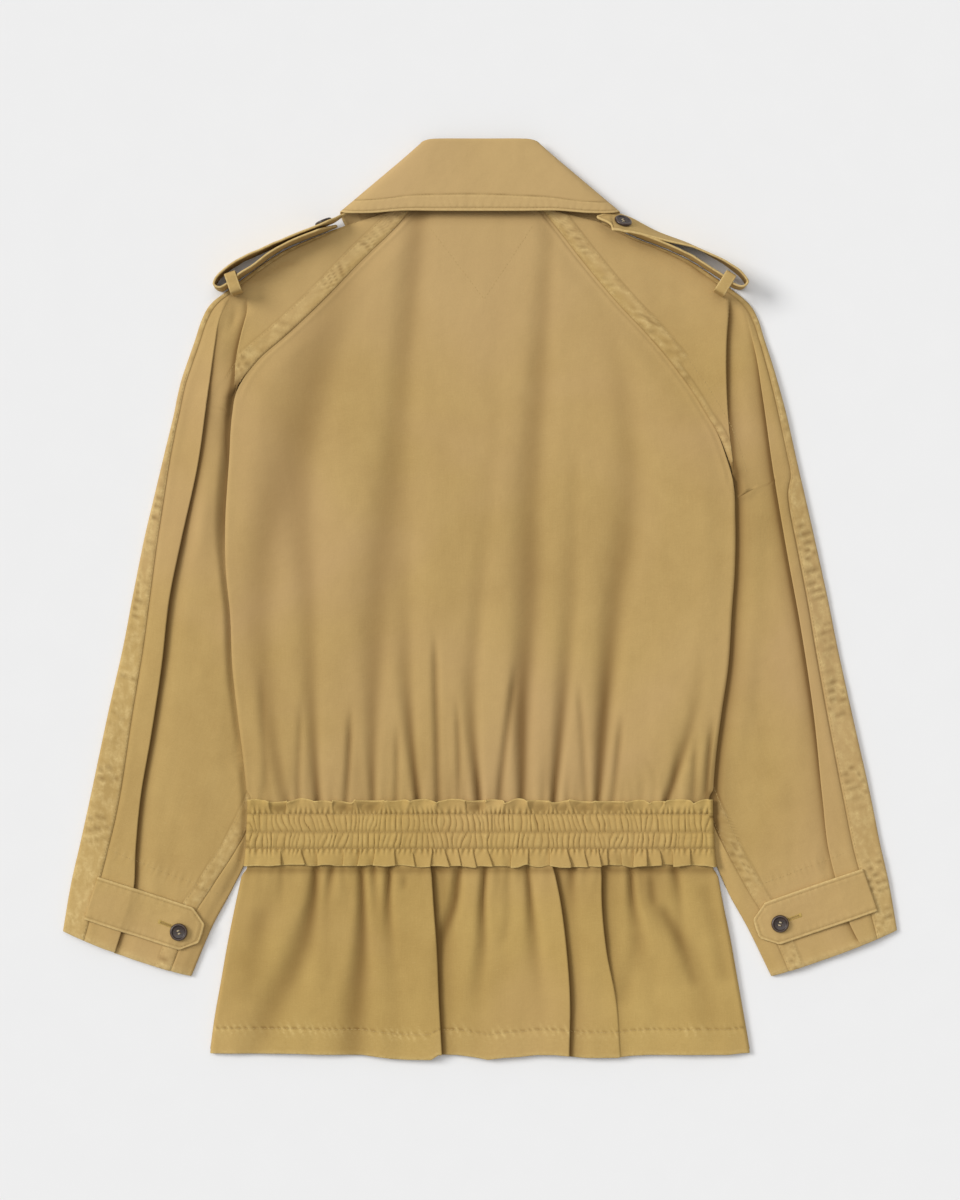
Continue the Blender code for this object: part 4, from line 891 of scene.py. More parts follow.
def thread_material(name, rgb):
    mat = bpy.data.materials.new(name)
    net = Net(mat)
    place = net.node("ShaderNodeTexCoord").outputs["Object"]
    ply = net.noise(place, 2600.0, 2.0, 0.6)
    far = net.noise(place, 60.0, 2.0, 0.5)
    r, g, b = rgb
    colour = net.mix(net.between(ply, 0.3, 0.7), linear(r * 0.84, g * 0.83, b * 0.80), linear(r, g, b))
    colour = net.mix(net.math("MULTIPLY", far, 0.30), colour, linear(r * 0.90, g * 0.87, b * 0.80))
    net.put(net.shader.inputs["Base Color"], colour)
    net.put(net.shader.inputs["Normal"], net.bump(ply, 0.5, 0.00015))
    net.put(net.shader.inputs["Roughness"], net.between(far, 0.3, 0.7, 0.62, 0.80))
    net.shader.inputs["Sheen Weight"].default_value = 0.05
    return mat


def button_material(name):
    """Dark brown horn-like resin: faint streaks through the disc, a soft polish, a dulled rim."""
    mat = bpy.data.materials.new(name)
    net = Net(mat)
    place = net.node("ShaderNodeTexCoord").outputs["Object"]
    streak = net.noise(net.scaled(place, (160.0, 520.0, 300.0)), 1.0, 4.0, 0.6, 0.8)
    cloud = net.noise(place, 260.0, 3.0, 0.5)
    wear_and_painted_shade = net.node("ShaderNodeSeparateColor")
    net.put(wear_and_painted_shade.inputs[0], net.node("ShaderNodeAttribute", attribute_name="wear_and_painted_shade").outputs["Color"])
    colour = net.mix(net.between(streak, 0.32, 0.72), linear(30, 21, 18), linear(66, 46, 37))
    colour = net.mix(net.math("MULTIPLY", cloud, 0.35), colour, linear(40, 31, 28))
    colour = net.mix(net.math("MULTIPLY", wear_and_painted_shade.outputs[0], 0.5), colour, linear(104, 84, 70))
    net.put(net.shader.inputs["Base Color"], colour)
    net.put(net.shader.inputs["Roughness"], net.between(cloud, 0.3, 0.7, 0.30, 0.48))
    net.put(net.shader.inputs["Normal"], net.bump(net.noise(place, 900.0, 2.0, 0.5), 0.15, 0.0001))
    net.shader.inputs["Specular IOR Level"].default_value = 0.5
    net.shader.inputs["Coat Weight"].default_value = 0.15
    net.shader.inputs["Coat Roughness"].default_value = 0.25
    return mat


def floor_material():
    mat = bpy.data.materials.new("pale_floor")
    net = Net(mat)
    place = net.node("ShaderNodeTexCoord").outputs["Object"]
    faint = net.noise(place, 30.0, 2.0, 0.5)
    net.put(net.shader.inputs["Base Color"], net.mix(faint, linear(233, 233, 233), linear(235, 235, 235)))
    net.shader.inputs["Roughness"].default_value = 0.95
    net.shader.inputs["Specular IOR Level"].default_value = 0.1
    return mat


TWILL = cloth_material("cotton_twill")
THREAD = thread_material("topstitch_thread", (196, 168, 108))
PALE_THREAD = thread_material("button_thread", (205, 190, 158))
GOLD_THREAD = thread_material("buttonhole_thread", (206, 176, 96))
HORN = button_material("button_brown")


# ================================================================== the panels
fine, mid, coarse = Noise(11), Noise(12), Noise(13)

BACK_SEAM = {
    "left": smooth_line([(x, y) for y, x, _ in BACK_EDGES[:8]], 3.0),
    "right": smooth_line([(x, y) for y, _, x in BACK_EDGES[:12]], 3.0),
}
# Small diagonal drags and creases of the back: (line, half width, height)
BACK_CREASES = (
    (spots((714, 712), (710, 752), (705, 846)), 3.0, -2.6),
    (spots((697, 722), (695, 765), (693, 846)), 3.0, -1.2),
    (spots((623, 706), (617, 765), (609, 846)), 3.0, -1.5),
    (spots((351, 700), (349, 752), (343, 850)), 2.8, -2.1),
    (spots((435, 625), (436, 700), (437, 740), (438, 850)), 3.0, -2.0),
    (spots((517, 655), (506, 740), (493, 850)), 3.2, -1.9),
    (spots((456, 690), (459, 756), (456, 850)), 2.6, -1.4),
    (spots((578, 670), (583, 742), (588, 850)), 3.0, -1.0),
    (spots((397, 715), (397, 770), (395, 850)), 2.6, -1.3),
    (spots((301, 690), (299, 760), (297, 850)), 2.8, -1.1),
    (spots((261, 660), (264, 740), (274, 850)), 3.4, -0.9),
    (spots((240, 330), (290, 300), (350, 262)), 7.0, -0.25),
    (spots((640, 748), (652, 772), (660, 796)), 3.2, -0.7),
)


def cloth_below(x, y):
    """Height of the top of the fronts, under the back."""
    one, two = front_height(x, y, "left"), front_height(x, y, "right")
    return np.where(x < LAP, one, two) + 0.95


def back_surface(x, y):
    """Height, sideways shift and hollowness of the back's cloth; the hollowness is painted as shade, more strongly
    towards the waist.
    """
    fade = step((y + 186) / 16)
    inner = step((np.minimum(x - back_left(y), back_right(y) - x) - 2) / 26) * step((334 - y) / 16)
    z, dx, hollow = folded(BACK_LINES, x, y)
    z = z * (0.80 + 0.25 * inner)
    low = step((-60 - y) / 120)
    warp = x + 5 * coarse(x / 70, y / 120)
    soft = 0.55 * mid(warp / 34, y / 190) * (0.40 + 0.60 * step((150 - y) / 200))
    soft = soft + 0.36 * mid(warp / 17 + 40, y / 110) * (0.3 + low)
    z = z + soft + 0.12 * fine(x / 9.5, y / 22)
    small = minor_folds(x, y, 21, -172, -196, 198, (7.5, 12.5), (10, 46), (0.4, 1.5), down=False)
    z = z + small
    hollow = hollow - 0.20 * small
    for line, w, amp in BACK_CREASES:
        part = crease(x, y, line, w, amp, 36.0)
        z, hollow = z + 1.2 * part, hollow - 0.32 * part
    total = BACK_BASE(y) + fade * (1.6 * (x / 205.0) ** 2 + 1.9 * inner + z)
    return at_least(total, cloth_below(x, y) + 0.3), fade * dx, fade * np.clip(hollow, 0, 1.3) * (0.80 + 0.45 * step((-20 - y) / 90))


def make_back():
    rows, wears, painted_shades = [], [], []
    ys = np.concatenate([np.linspace(337, 320, 8), np.linspace(317, -60, 108), np.linspace(-62.4, -195, 62)])
    for y in ys:
        left, right = float(back_left(y)), float(back_right(y))
        inset = 3.2 * float(waist(y))
        left, right = left + inset, right - inset
        level = 1 - float(waist(y))
        turn_l = level * float(step((UNDERARM_Y["left"] - y) / 10))
        turn_r = level * float(step((UNDERARM_Y["right"] - y) / 10))
        marks = [float(xf(y)) for kind, w, xf, amp in BACK_LINES if kind > 1]
        cols = columns_by(left + 3, right - 3, 208, marks, 3.0, 4.0)
        z, dx, hollow = back_surface(cols, np.full(cols.shape, float(y)))
        # The edges that are sewn to the sleeves roll down into the seam.
        for side, edge, turn in (("left", cols - left, turn_l), ("right", right - cols, turn_r)):
            sewn = (1 - turn) * step((y + 140) / 30)
            z = z + sewn * (0.45 * np.exp(-(((edge - 5.0) / 3.0) ** 2)) - 0.75 * np.exp(-(((edge - 2.6) / 1.7) ** 2)))
        pts = np.stack([cols + dx, np.full(cols.shape, float(y)), z], 1)
        end = float(SIDE_LEVEL(y)) + 0.03
        drop_l, drop_r = z[0], z[-1]
        before = [(x, y, zz) for x, zz in curl_fine(cols[0], drop_l, left, end, turn_l)]
        after = [(x, y, zz) for x, zz in curl_fine(cols[-1], drop_r, right, end, turn_r)]
        rows.append(np.concatenate([np.array(before[::-1]), pts, np.array(after)]))
        painted_shades.append(np.concatenate([np.full(len(before), hollow[0]), hollow, np.full(len(after), hollow[-1])]))
    P = np.array(rows)
    # Painted shade: the fold hollows, and a painted shadow along the top where the collar's free edge lies over the
    # back.
    painted_collar_shadow = step((P[..., 1] - 316) / 12)
    pale = 0.55 * step((P[..., 1] - 150) / 150) + 0.12
    return sheet_mesh("back_cloth", P, TWILL, painted_shade=0.78 * np.array(painted_shades) + 0.35 * painted_collar_shadow, pale=pale)


def curl_fine(x_in, z_in, x_edge, z_edge, turn, parts=6):
    pts = []
    for i in range(1, parts + 1):
        a = math.pi / 2 * i / parts
        round_x = x_in + (x_edge - x_in) * math.sin(a)
        round_z = z_edge + (z_in - z_edge) * math.cos(a)
        flat_x = x_in + (x_edge - x_in) * i / parts
        pts.append((turn * round_x + (1 - turn) * flat_x, turn * round_z + (1 - turn) * z_in))
    return pts


PEPLUM_CREASES = (
    (spots((660, 902), (682, 945), (697, 992)), 4.5, -0.9),
    (spots((651, 872), (652, 890), (656, 912)), 3.4, -0.8),
    (spots((405, 868), (405, 880), (404, 896)), 3.0, -1.2),
    (spots((505, 870), (508, 905), (504, 950)), 4.0, -0.6),
    (spots((262, 905), (256, 960), (246, 1010)), 8.0, -0.5),
    (spots((340, 890), (332, 940), (322, 1000)), 8.0, -0.4),
    (spots((702, 880), (716, 930), (728, 990)), 6.0, -0.6),
    (spots((640, 930), (632, 970), (620, 1010)), 7.0, -0.6),
)


def peplum_surface(x, y):
    drop = step((-212 - y) / 26)
    inner = step((np.minimum(x - peplum_left(y), peplum_right(y) - x) - 2) / 22)
    z, dx, hollow = folded(PEPLUM_LINES, x, y, lap=0.75)
    z = z * (0.95 + 0.30 * inner)
    warp = x + 6 * coarse(x / 60 + 3, y / 90)
    z = z + 0.50 * mid(warp / 30 + 11, y / 140) + 0.28 * mid(warp / 15 + 60, y / 80)
    z = z + 0.12 * fine(x / 9.5 + 30, y / 18)
    small = minor_folds(x, y, 33, -228, -196, 198, (7.5, 12.0), (8, 34), (0.4, 1.6))
    z, hollow = z + small, hollow - 0.18 * small
    for line, w, amp in PEPLUM_CREASES:
        part = crease(x, y, line, w, amp, 12.0)
        z, hollow = z + 1.2 * part, hollow - 0.34 * part
    below = np.where(x < LAP, front_height(x, y, "left"), front_height(x, y, "right")) + 1.25
    # The third value is how hollow the folds are, which is painted as shade.
    return at_least(PEPLUM_BASE(y) + drop * (z + 1.2 * inner), below), drop * dx, drop * np.clip(hollow, 0, 1.3)


def make_peplum():
    rows, hollows = [], []
    ts = np.concatenate([np.linspace(0, 0.12, 8), np.linspace(0.135, 1, 84)])
    for t in ts:
        y0 = -197 + t * (-384 + 197)
        left, right = float(peplum_left(y0)), float(peplum_right(y0))
        inset = 3.2 * float(waist(y0))
        left, right = left + inset, right - inset
        marks = [float(xf(y0)) for kind, w, xf, amp in PEPLUM_LINES if kind > 1]
        cols = columns_by(left + 3, right - 3, 214, marks, 3.0, 4.0)
        edge = np.array([float(hem(x)) for x in cols])
        ys = -197 + t * (edge + 197)
        z, dx, hollow = peplum_surface(cols, ys)
        # The turned hem: two more layers below the stitch line, puckered along it.
        above = ys - edge
        ph = phase_of(uneven(41, -260, 260, 3.6, 8.5), cols + 0.5 * (above - 21) + 1.5 * mid(cols / 20, 5.0))
        near = np.exp(-(((above - 21) / 6.5) ** 2))
        z = z + 0.35 * step((21.6 - above) / 1.6) - 0.38 * np.exp(-(((above - 21.2) / 1.0) ** 2))
        z = z + 0.26 * near * np.cos(ph) * (0.6 + 0.5 * mid(cols / 26, 8.0))
        pts = np.stack([cols + dx, ys, z], 1)
        level = float(SIDE_LEVEL(y0)) + 0.03
        turn = 1 - float(waist(y0))
        before = [(x, ys[0], zz) for x, zz in curl_fine(cols[0], z[0], left, level, turn)]
        after = [(x, ys[-1], zz) for x, zz in curl_fine(cols[-1], z[-1], right, level, turn)]
        rows.append(np.concatenate([np.array(before[::-1]), pts, np.array(after)]))
        hollows.append(np.concatenate([np.full(len(before), hollow[0]), hollow, np.full(len(after), hollow[-1])]))
    P = np.array(rows)
    X, Y = P[..., 0], P[..., 1]
    above = Y - hem(X)
    ph = phase_of(uneven(41, -260, 260, 3.6, 8.5), X + 0.5 * (above - 21) + 1.5 * mid(X / 20, 5.0))
    near = np.exp(-(((above - 21) / 5.0) ** 2))
    wear = near * np.clip(np.cos(ph), 0, 1) * (0.55 + 0.5 * mid(X / 18, 3.0)) + 0.9 * np.exp(-((above / 1.6) ** 2)) \
        + 0.16 * step((21 - above) / 2)
    # Painted shade along the hem's stitch line between puckers and in the fold hollows.
    painted_shade = 0.55 * np.exp(-(((above - 21.4) / 0.9) ** 2)) * np.clip(0.6 - np.cos(ph), 0, 1) + 0.92 * np.array(hollows)
    # A painted shadow of the lower frill on the peplum just below it.
    painted_shade = painted_shade + 0.50 * np.exp(-(((Y + 230.5) / 3.2) ** 2))
    return sheet_mesh("peplum_cloth", P, TWILL, wear=wear, painted_shade=painted_shade, gold=0.6)


# ------------------------------------------------------------- waist casing
ROW_TOP, ROW_MIDDLE, ROW_LOW = -183.0, -198.2, -212.0      # the three rows of stitches
FRILL_STEPS = [spot(p, 0)[0] for p in (280, 302, 318, 344, 360, 375, 394, 413, 431, 446, 459, 474, 489, 512, 528, 551,
                                       568, 585, 599, 607, 622, 635, 646, 660, 674, 690)]
GATHERS_A = uneven(51, -215, 215, 2.9, 6.1)
GATHERS_B = uneven(52, -215, 215, 2.9, 6.3)
WAVES_TOP = uneven(53, -215, 215, 13, 25)


def casing_point(u, y, reach_up=1.0):
    """(dx, dy, z, wear, painted shade) of the gathered strip at place u across and y down, before it lies on the body.
    """
    u, y = np.asarray(u, float), np.asarray(y, float)
    z = np.zeros(u.shape)
    wear, painted_shade = np.zeros(u.shape), np.zeros(u.shape)
    dx, dy = np.zeros(u.shape), np.zeros(u.shape)
    for low, high, places, lean, seed in ((ROW_MIDDLE, ROW_TOP, GATHERS_A, 0.13, 61), (ROW_LOW, ROW_MIDDLE, GATHERS_B, -0.10, 62)):
        middle, half = (low + high) / 2, (high - low) / 2
        n = Noise(seed)
        inside = step((y - low) / 1.0) * step((high - y) / 1.0)
        s = u + (lean + 0.32 * n(u / 13, 1.5)) * (y - middle) + 1.1 * n(u / 7.5, y / 9.0)
        ph = phase_of(places, s)
        ridge = np.abs(np.cos(ph / 2)) ** 0.42                     # narrow valleys, rounded ridges
        valley = np.clip(0.62 + 0.75 * n(np.floor(ph / (2 * math.pi)) * 1.7, 9.5), 0.2, 1.1)   # some run deep, some barely show
        barrel = np.clip(1 - ((y - middle) / half) ** 2, 0, 1) ** 0.40
        size = 0.85 + 0.40 * n(u / 6.3, 4.5)
        z = z + inside * barrel * (0.65 + 1.9 * size * (ridge - 0.55) * (0.45 + 0.55 * valley))
        wear = wear + inside * barrel * np.clip(ridge - 0.80, 0, 1) * 2.0 * (0.5 + 0.5 * n(u / 5, y / 6))
        # Painted shade in the narrow valleys between gathers.
        painted_shade = painted_shade + inside * np.clip(0.66 - ridge, 0, 1) * 3.4 * valley
    # Gathers run on a little way into both frills, then open out.
    for row, sign, places, seed in ((ROW_TOP, 1, GATHERS_A, 63), (ROW_LOW, -1, GATHERS_B, 64)):
        n = Noise(seed)
        away = np.clip((y - row) * sign, 0, None)
        on = step((y - row) * sign / 0.8)
        ph = phase_of(places, u + 0.25 * n(u / 12, 0.5) * away)
        z = z + on * 1.25 * np.cos(ph) * np.exp(-((away / 4.6) ** 2)) * (0.7 + 0.4 * n(u / 8, 2.5))
        # Painted shade between the gathers where they run into the frills.
        painted_shade = painted_shade + on * np.exp(-((away / 2.4) ** 2)) * 0.60 * np.clip(-np.cos(ph), 0, 1)
        wear = wear + on * np.exp(-(((away - 2.0) / 1.6) ** 2)) * 0.35 * np.clip(np.cos(ph), 0, 1)
    for row in (ROW_TOP, ROW_MIDDLE, ROW_LOW):
        z = z - 0.75 * np.exp(-(((y - row) / 0.85) ** 2))
        # Painted shade in the sunk lines of the stitch rows.
        painted_shade = painted_shade + 0.36 * np.exp(-(((y - row) / 0.7) ** 2))
    # Upper frill: arched lengths of edge between pinches, some hollow, some standing, a few leaning over.
    n = Noise(65)
    up = np.clip((y - ROW_TOP) / 12.0, 0, 1.3)
    ph = phase_of(WAVES_TOP, u + 2.2 * n(u / 30, 0.5) + 3.0 * (up - 0.5) * n(u / 16, 6.5))
    size = 0.85 + 0.45 * n(u / 22, 3.5)
    arch = np.abs(np.sin(ph / 2)) ** 0.7
    which = n(np.floor(ph / (2 * math.pi)) * 1.37, 40.5)             # one number for each length between pinches
    bowl = np.clip(0.30 + 1.1 * which, 0, 1)
    swell = np.clip(0.30 - 1.1 * which, 0, 1)
    hollow = np.sin(math.pi * np.clip(up / 0.95, 0, 1)) * arch
    z = z + up ** 1.1 * (2.3 + 1.6 * size * np.cos(ph)) - 2.2 * bowl * hollow + 1.5 * swell * hollow
    z = z + 0.8 * up * n(u / 5.5, 2 + y / 7)
    dx = dx - up ** 1.3 * 2.3 * size * np.sin(ph + 0.5) * (0.5 + 0.8 * np.abs(which))
    dy = dy + reach_up * up ** 1.5 * (2.3 * (arch - 0.75) * (1 - 1.7 * bowl) + 1.5 * n(u / 8, 12.5) - 0.9 * bowl)
    wear = wear + 0.85 * step((up - 0.93) / 0.08) + 0.30 * up * np.clip(np.cos(ph) - 0.2, 0, 1) + 0.25 * swell * hollow
    # Painted shade in the hollow lengths of the upper frill and at its pinches.
    painted_shade = painted_shade + 0.62 * bowl * hollow * (1 - step((up - 0.86) / 0.08)) + 0.45 * up * np.exp(-((np.sin(ph / 2) / 0.16) ** 2)) * (1 - step((up - 0.9) / 0.08))
    # Lower frill: pressed box-like folds, each lapping over the next and tilted its own way.
    down = np.clip((ROW_LOW - y) / 15.0, 0, 1.1)
    for k, place in enumerate(FRILL_STEPS):
        kind = 2 if n(k * 1.7, 20.5) > -0.15 else 3
        amp = 2.3 + 1.1 * n(k * 2.3, 21.5)
        lean = place + 3.4 * n(k * 3.1, 22.5) * (down - 0.5)
        a, b = fold_shape(kind, 6.4, u - lean, amp * down ** 0.8, 0.95, 1.1)
        z, dx = z + 1.1 * a, dx + b
        side = 1 if kind == 2 else -1
        # Painted shadow along the edge of each lapping fold of the lower frill.
        painted_shade = painted_shade + 0.72 * down * np.exp(-(((u - lean - 1.0 * side) / 1.1) ** 2)) + 0.16 * down * np.exp(-(((u - lean - 4.0 * side) / 3.2) ** 2))
        dy = dy + down ** 2 * side * 1.5 * np.exp(-(((u - lean + 1.5 * side) / 4.0) ** 2)) * n(k * 1.3, 50.5)
    z = z + down * (1.7 + 0.9 * n(u / 14, 30.5)) + 0.5 * down * n(u / 6, 3 + y / 8)
    dy = dy + down ** 2 * 1.5 * n(u / 10, 31.5)
    wear = wear + 0.85 * step((down - 0.955) / 0.03) + 0.16 * down
    return dx, dy, z, np.clip(wear, 0, 1), np.clip(painted_shade, 0, 1)


def make_casing():
    ys = np.concatenate([np.linspace(-171, ROW_TOP + 0.5, 13), np.linspace(ROW_TOP - 0.6, ROW_MIDDLE + 0.6, 9),
                         np.linspace(ROW_MIDDLE - 0.5, ROW_LOW + 0.6, 8), np.linspace(ROW_LOW - 0.3, -227, 14)])
    rows, wears, painted_shades = [], [], []
    for y in ys:
        left, right = -float(side_edge(y, "left")), float(side_edge(y, "right"))
        u = np.linspace(left + 3, right - 3, 660)
        yy = np.full(u.shape, y)
        dx, dy, z, wear, painted_shade = casing_point(u, yy)
        ends = step((u - left - 3) / 5) * step((right - 3 - u) / 5)
        under = (back_surface(u, yy)[0] if y > -200 else peplum_surface(u, yy)[0]) + WALL + 0.12
        off = step(abs(y + 198) / 16 - 0.4)
        height = np.maximum(8.55 + z, under)
        pts = np.stack([u + dx * ends, yy + dy, height], 1)
        level = float(SIDE_LEVEL(y)) + 0.03
        before = [(x, yy[0] + dy[0], zz) for x, zz in curl_fine(u[0], height[0], left, level, 1, 4)]
        after = [(x, yy[-1] + dy[-1], zz) for x, zz in curl_fine(u[-1], height[-1], right, level, 1, 4)]
        rows.append(np.concatenate([np.array(before[::-1]), pts, np.array(after)]))
        pad = lambda a: np.concatenate([np.full(4, a[0]), a, np.full(4, a[-1])])
        wears.append(pad(wear))
        painted_shades.append(pad(painted_shade))
    return sheet_mesh("waist_casing_cloth", np.array(rows), TWILL, wall=0.8, wear=np.array(wears), painted_shade=np.array(painted_shades), gold=0.85)


# ------------------------------------------------------------------ sleeves
# Creases of the sleeves' upper layer, each as (line, half width, height)
SLEEVE_CREASES = {
    "left": (
        (spots((241, 284), (262, 272), (283, 261), (310, 264)), 4.5, -1.5),
        (spots((243, 296), (254, 300), (268, 298)), 3.5, -0.8),
        (spots((240, 292), (247, 303), (247, 322)), 3.2, -1.3),
        (spots((234, 296), (235, 312), (229, 336)), 3.2, -1.4),
        (spots((226, 292), (222, 312), (212, 345)), 4.0, 0.9),
        (spots((250, 318), (246, 336), (243, 352)), 3.6, -0.9),
        (spots((152, 690), (164, 600), (176, 520)), 9.0, 0.5),
        (spots((236, 640), (232, 700), (226, 780)), 7.0, -0.5),
        (spots((150, 800), (176, 812), (208, 806)), 8.0, -0.4),
    ),
    "right": (
        (spots((655, 238), (690, 258), (716, 284)), 4.0, -0.9),
        (spots((700, 300), (690, 292), (664, 284)), 5.0, -0.5),
        (spots((736, 300), (745, 318), (754, 344)), 3.6, 0.9),
        (spots((740, 560), (736, 640), (722, 760)), 9.0, -0.9),
        (spots((790, 560), (800, 640), (808, 720)), 9.0, 0.4),
        (spots((748, 800), (775, 812), (812, 800)), 8.0, -0.5),
        (spots((822, 850), (826, 868), (829, 884)), 3.6, -0.8),
    ),
}


# Long swells of the sleeves beside the body: y at both ends, distance from the side fold, half width, height
BESIDE = {"left": (20, 236, 21.0, 9.0, 2.6), "right": (-150, 96, 17.0, 9.0, 1.3)}


def sleeve_cloth(side, out, y, from_fold, share, seam_z, is_open):
    """Middle of a sleeve's upper layer with its laid pleats, how far each place is shifted outwards, and how much shade
    to paint: in the pleat hollows and as a shadow beside the body's side edge.
    """
    x = SIGN[side] * out
    z = 5.2 - 1.6 * np.exp(-from_fold / 12.0) + 0.7 * step(from_fold / 30) * step((1 - share) * 4)
    shift, deep = 0.0 * z, 0.0 * z
    for kind, w, xf, amp, y0, y1 in PLEAT_LINES[side]:
        inside = step((y - y0 + 6) / 10) * step((y1 - y + 6) / 10)
        d, high = xf(y) - out, np.clip(amp(y), 0, None)
        dz, dx = fold_shape(kind, w, d, high, 1.4, 0.80)
        z, shift = z + 1.25 * inside * dz, shift - inside * dx
        # Painted shade in the hollow beside each pleat.
        deep = deep + inside * 1.15 * hollow_of(kind, 0.55 * w, d, high)
    off = 100 if side == "left" else 200
    drift = out + 0.18 * y
    z = z + 0.62 * mid(drift / 30 + off, y / 150) + 0.36 * mid(drift / 14 + off, y / 60)
    z = z + 0.11 * fine(x / 9.5 + off, y / 16)
    for line, w, amp in SLEEVE_CREASES[side]:
        z = z + crease(x, y, line, w, 1.45 * amp)
    edge = side_edge(np.minimum(y, UNDERARM_Y[side] + 12), side)
    y0, y1, away, w, amp = BESIDE[side]
    long_ = step((y - y0) / 50) * step((y1 - y) / 26)
    z = z + amp * long_ * np.exp(-(((out - edge - away) / w) ** 2))
    wide = 9.0 if side == "right" else 5.0 + 4.0 * step((y - 10) / 60)
    tucked = step((edge + wide + 1.5 - out) / wide) * step((UNDERARM_Y[side] + 7 - y) / 9)
    under = step((UNDERARM_Y[side] + 20 - y) / 16)
    away = np.clip(out - edge, 0, None)
    # Painted shadow on the sleeve beside the body's side edge: all along on the right, and on the left mostly where the
    # swell beside the body rises.
    if side == "right":
        deep = deep + under * (0.92 * np.exp(-((away / 6.5) ** 2)) + 0.42 * np.exp(-((away / 15.0) ** 2)))
    else:
        deep = deep + under * (0.03 + 1.0 * long_) * np.exp(-((away / 7.5) ** 2))
    z = z + is_open * (seam_z - z) * step((share - 0.45) / 0.5)
    z = at_least(z, SLEEVE_TUCK + 0.2, 0.2)
    return z + (SLEEVE_TUCK - z) * tucked, shift * (1 - tucked), np.clip(deep, 0, 1.1)


def fine_sections(side, count_length=3.4):
    """Section places from cuff to neck, about evenly spaced along the sleeve."""
    table = SLEEVE_LEFT if side == "left" else SLEEVE_RIGHT
    ts = []
    for k, (a, b) in enumerate(zip(table[:-1], table[1:])):
        length = max(math.dist(a[:2], b[:2]), 0.75 * math.dist(a[2:4], b[2:4]))
        n = max(2, int(round(length / count_length)))
        ts += list(k + np.arange(n) / n)
    return ts + [len(table) - 1.0]


EDGE_LINES = {"left": {}, "right": {}}       # the sleeves' seam lines, found while they are made


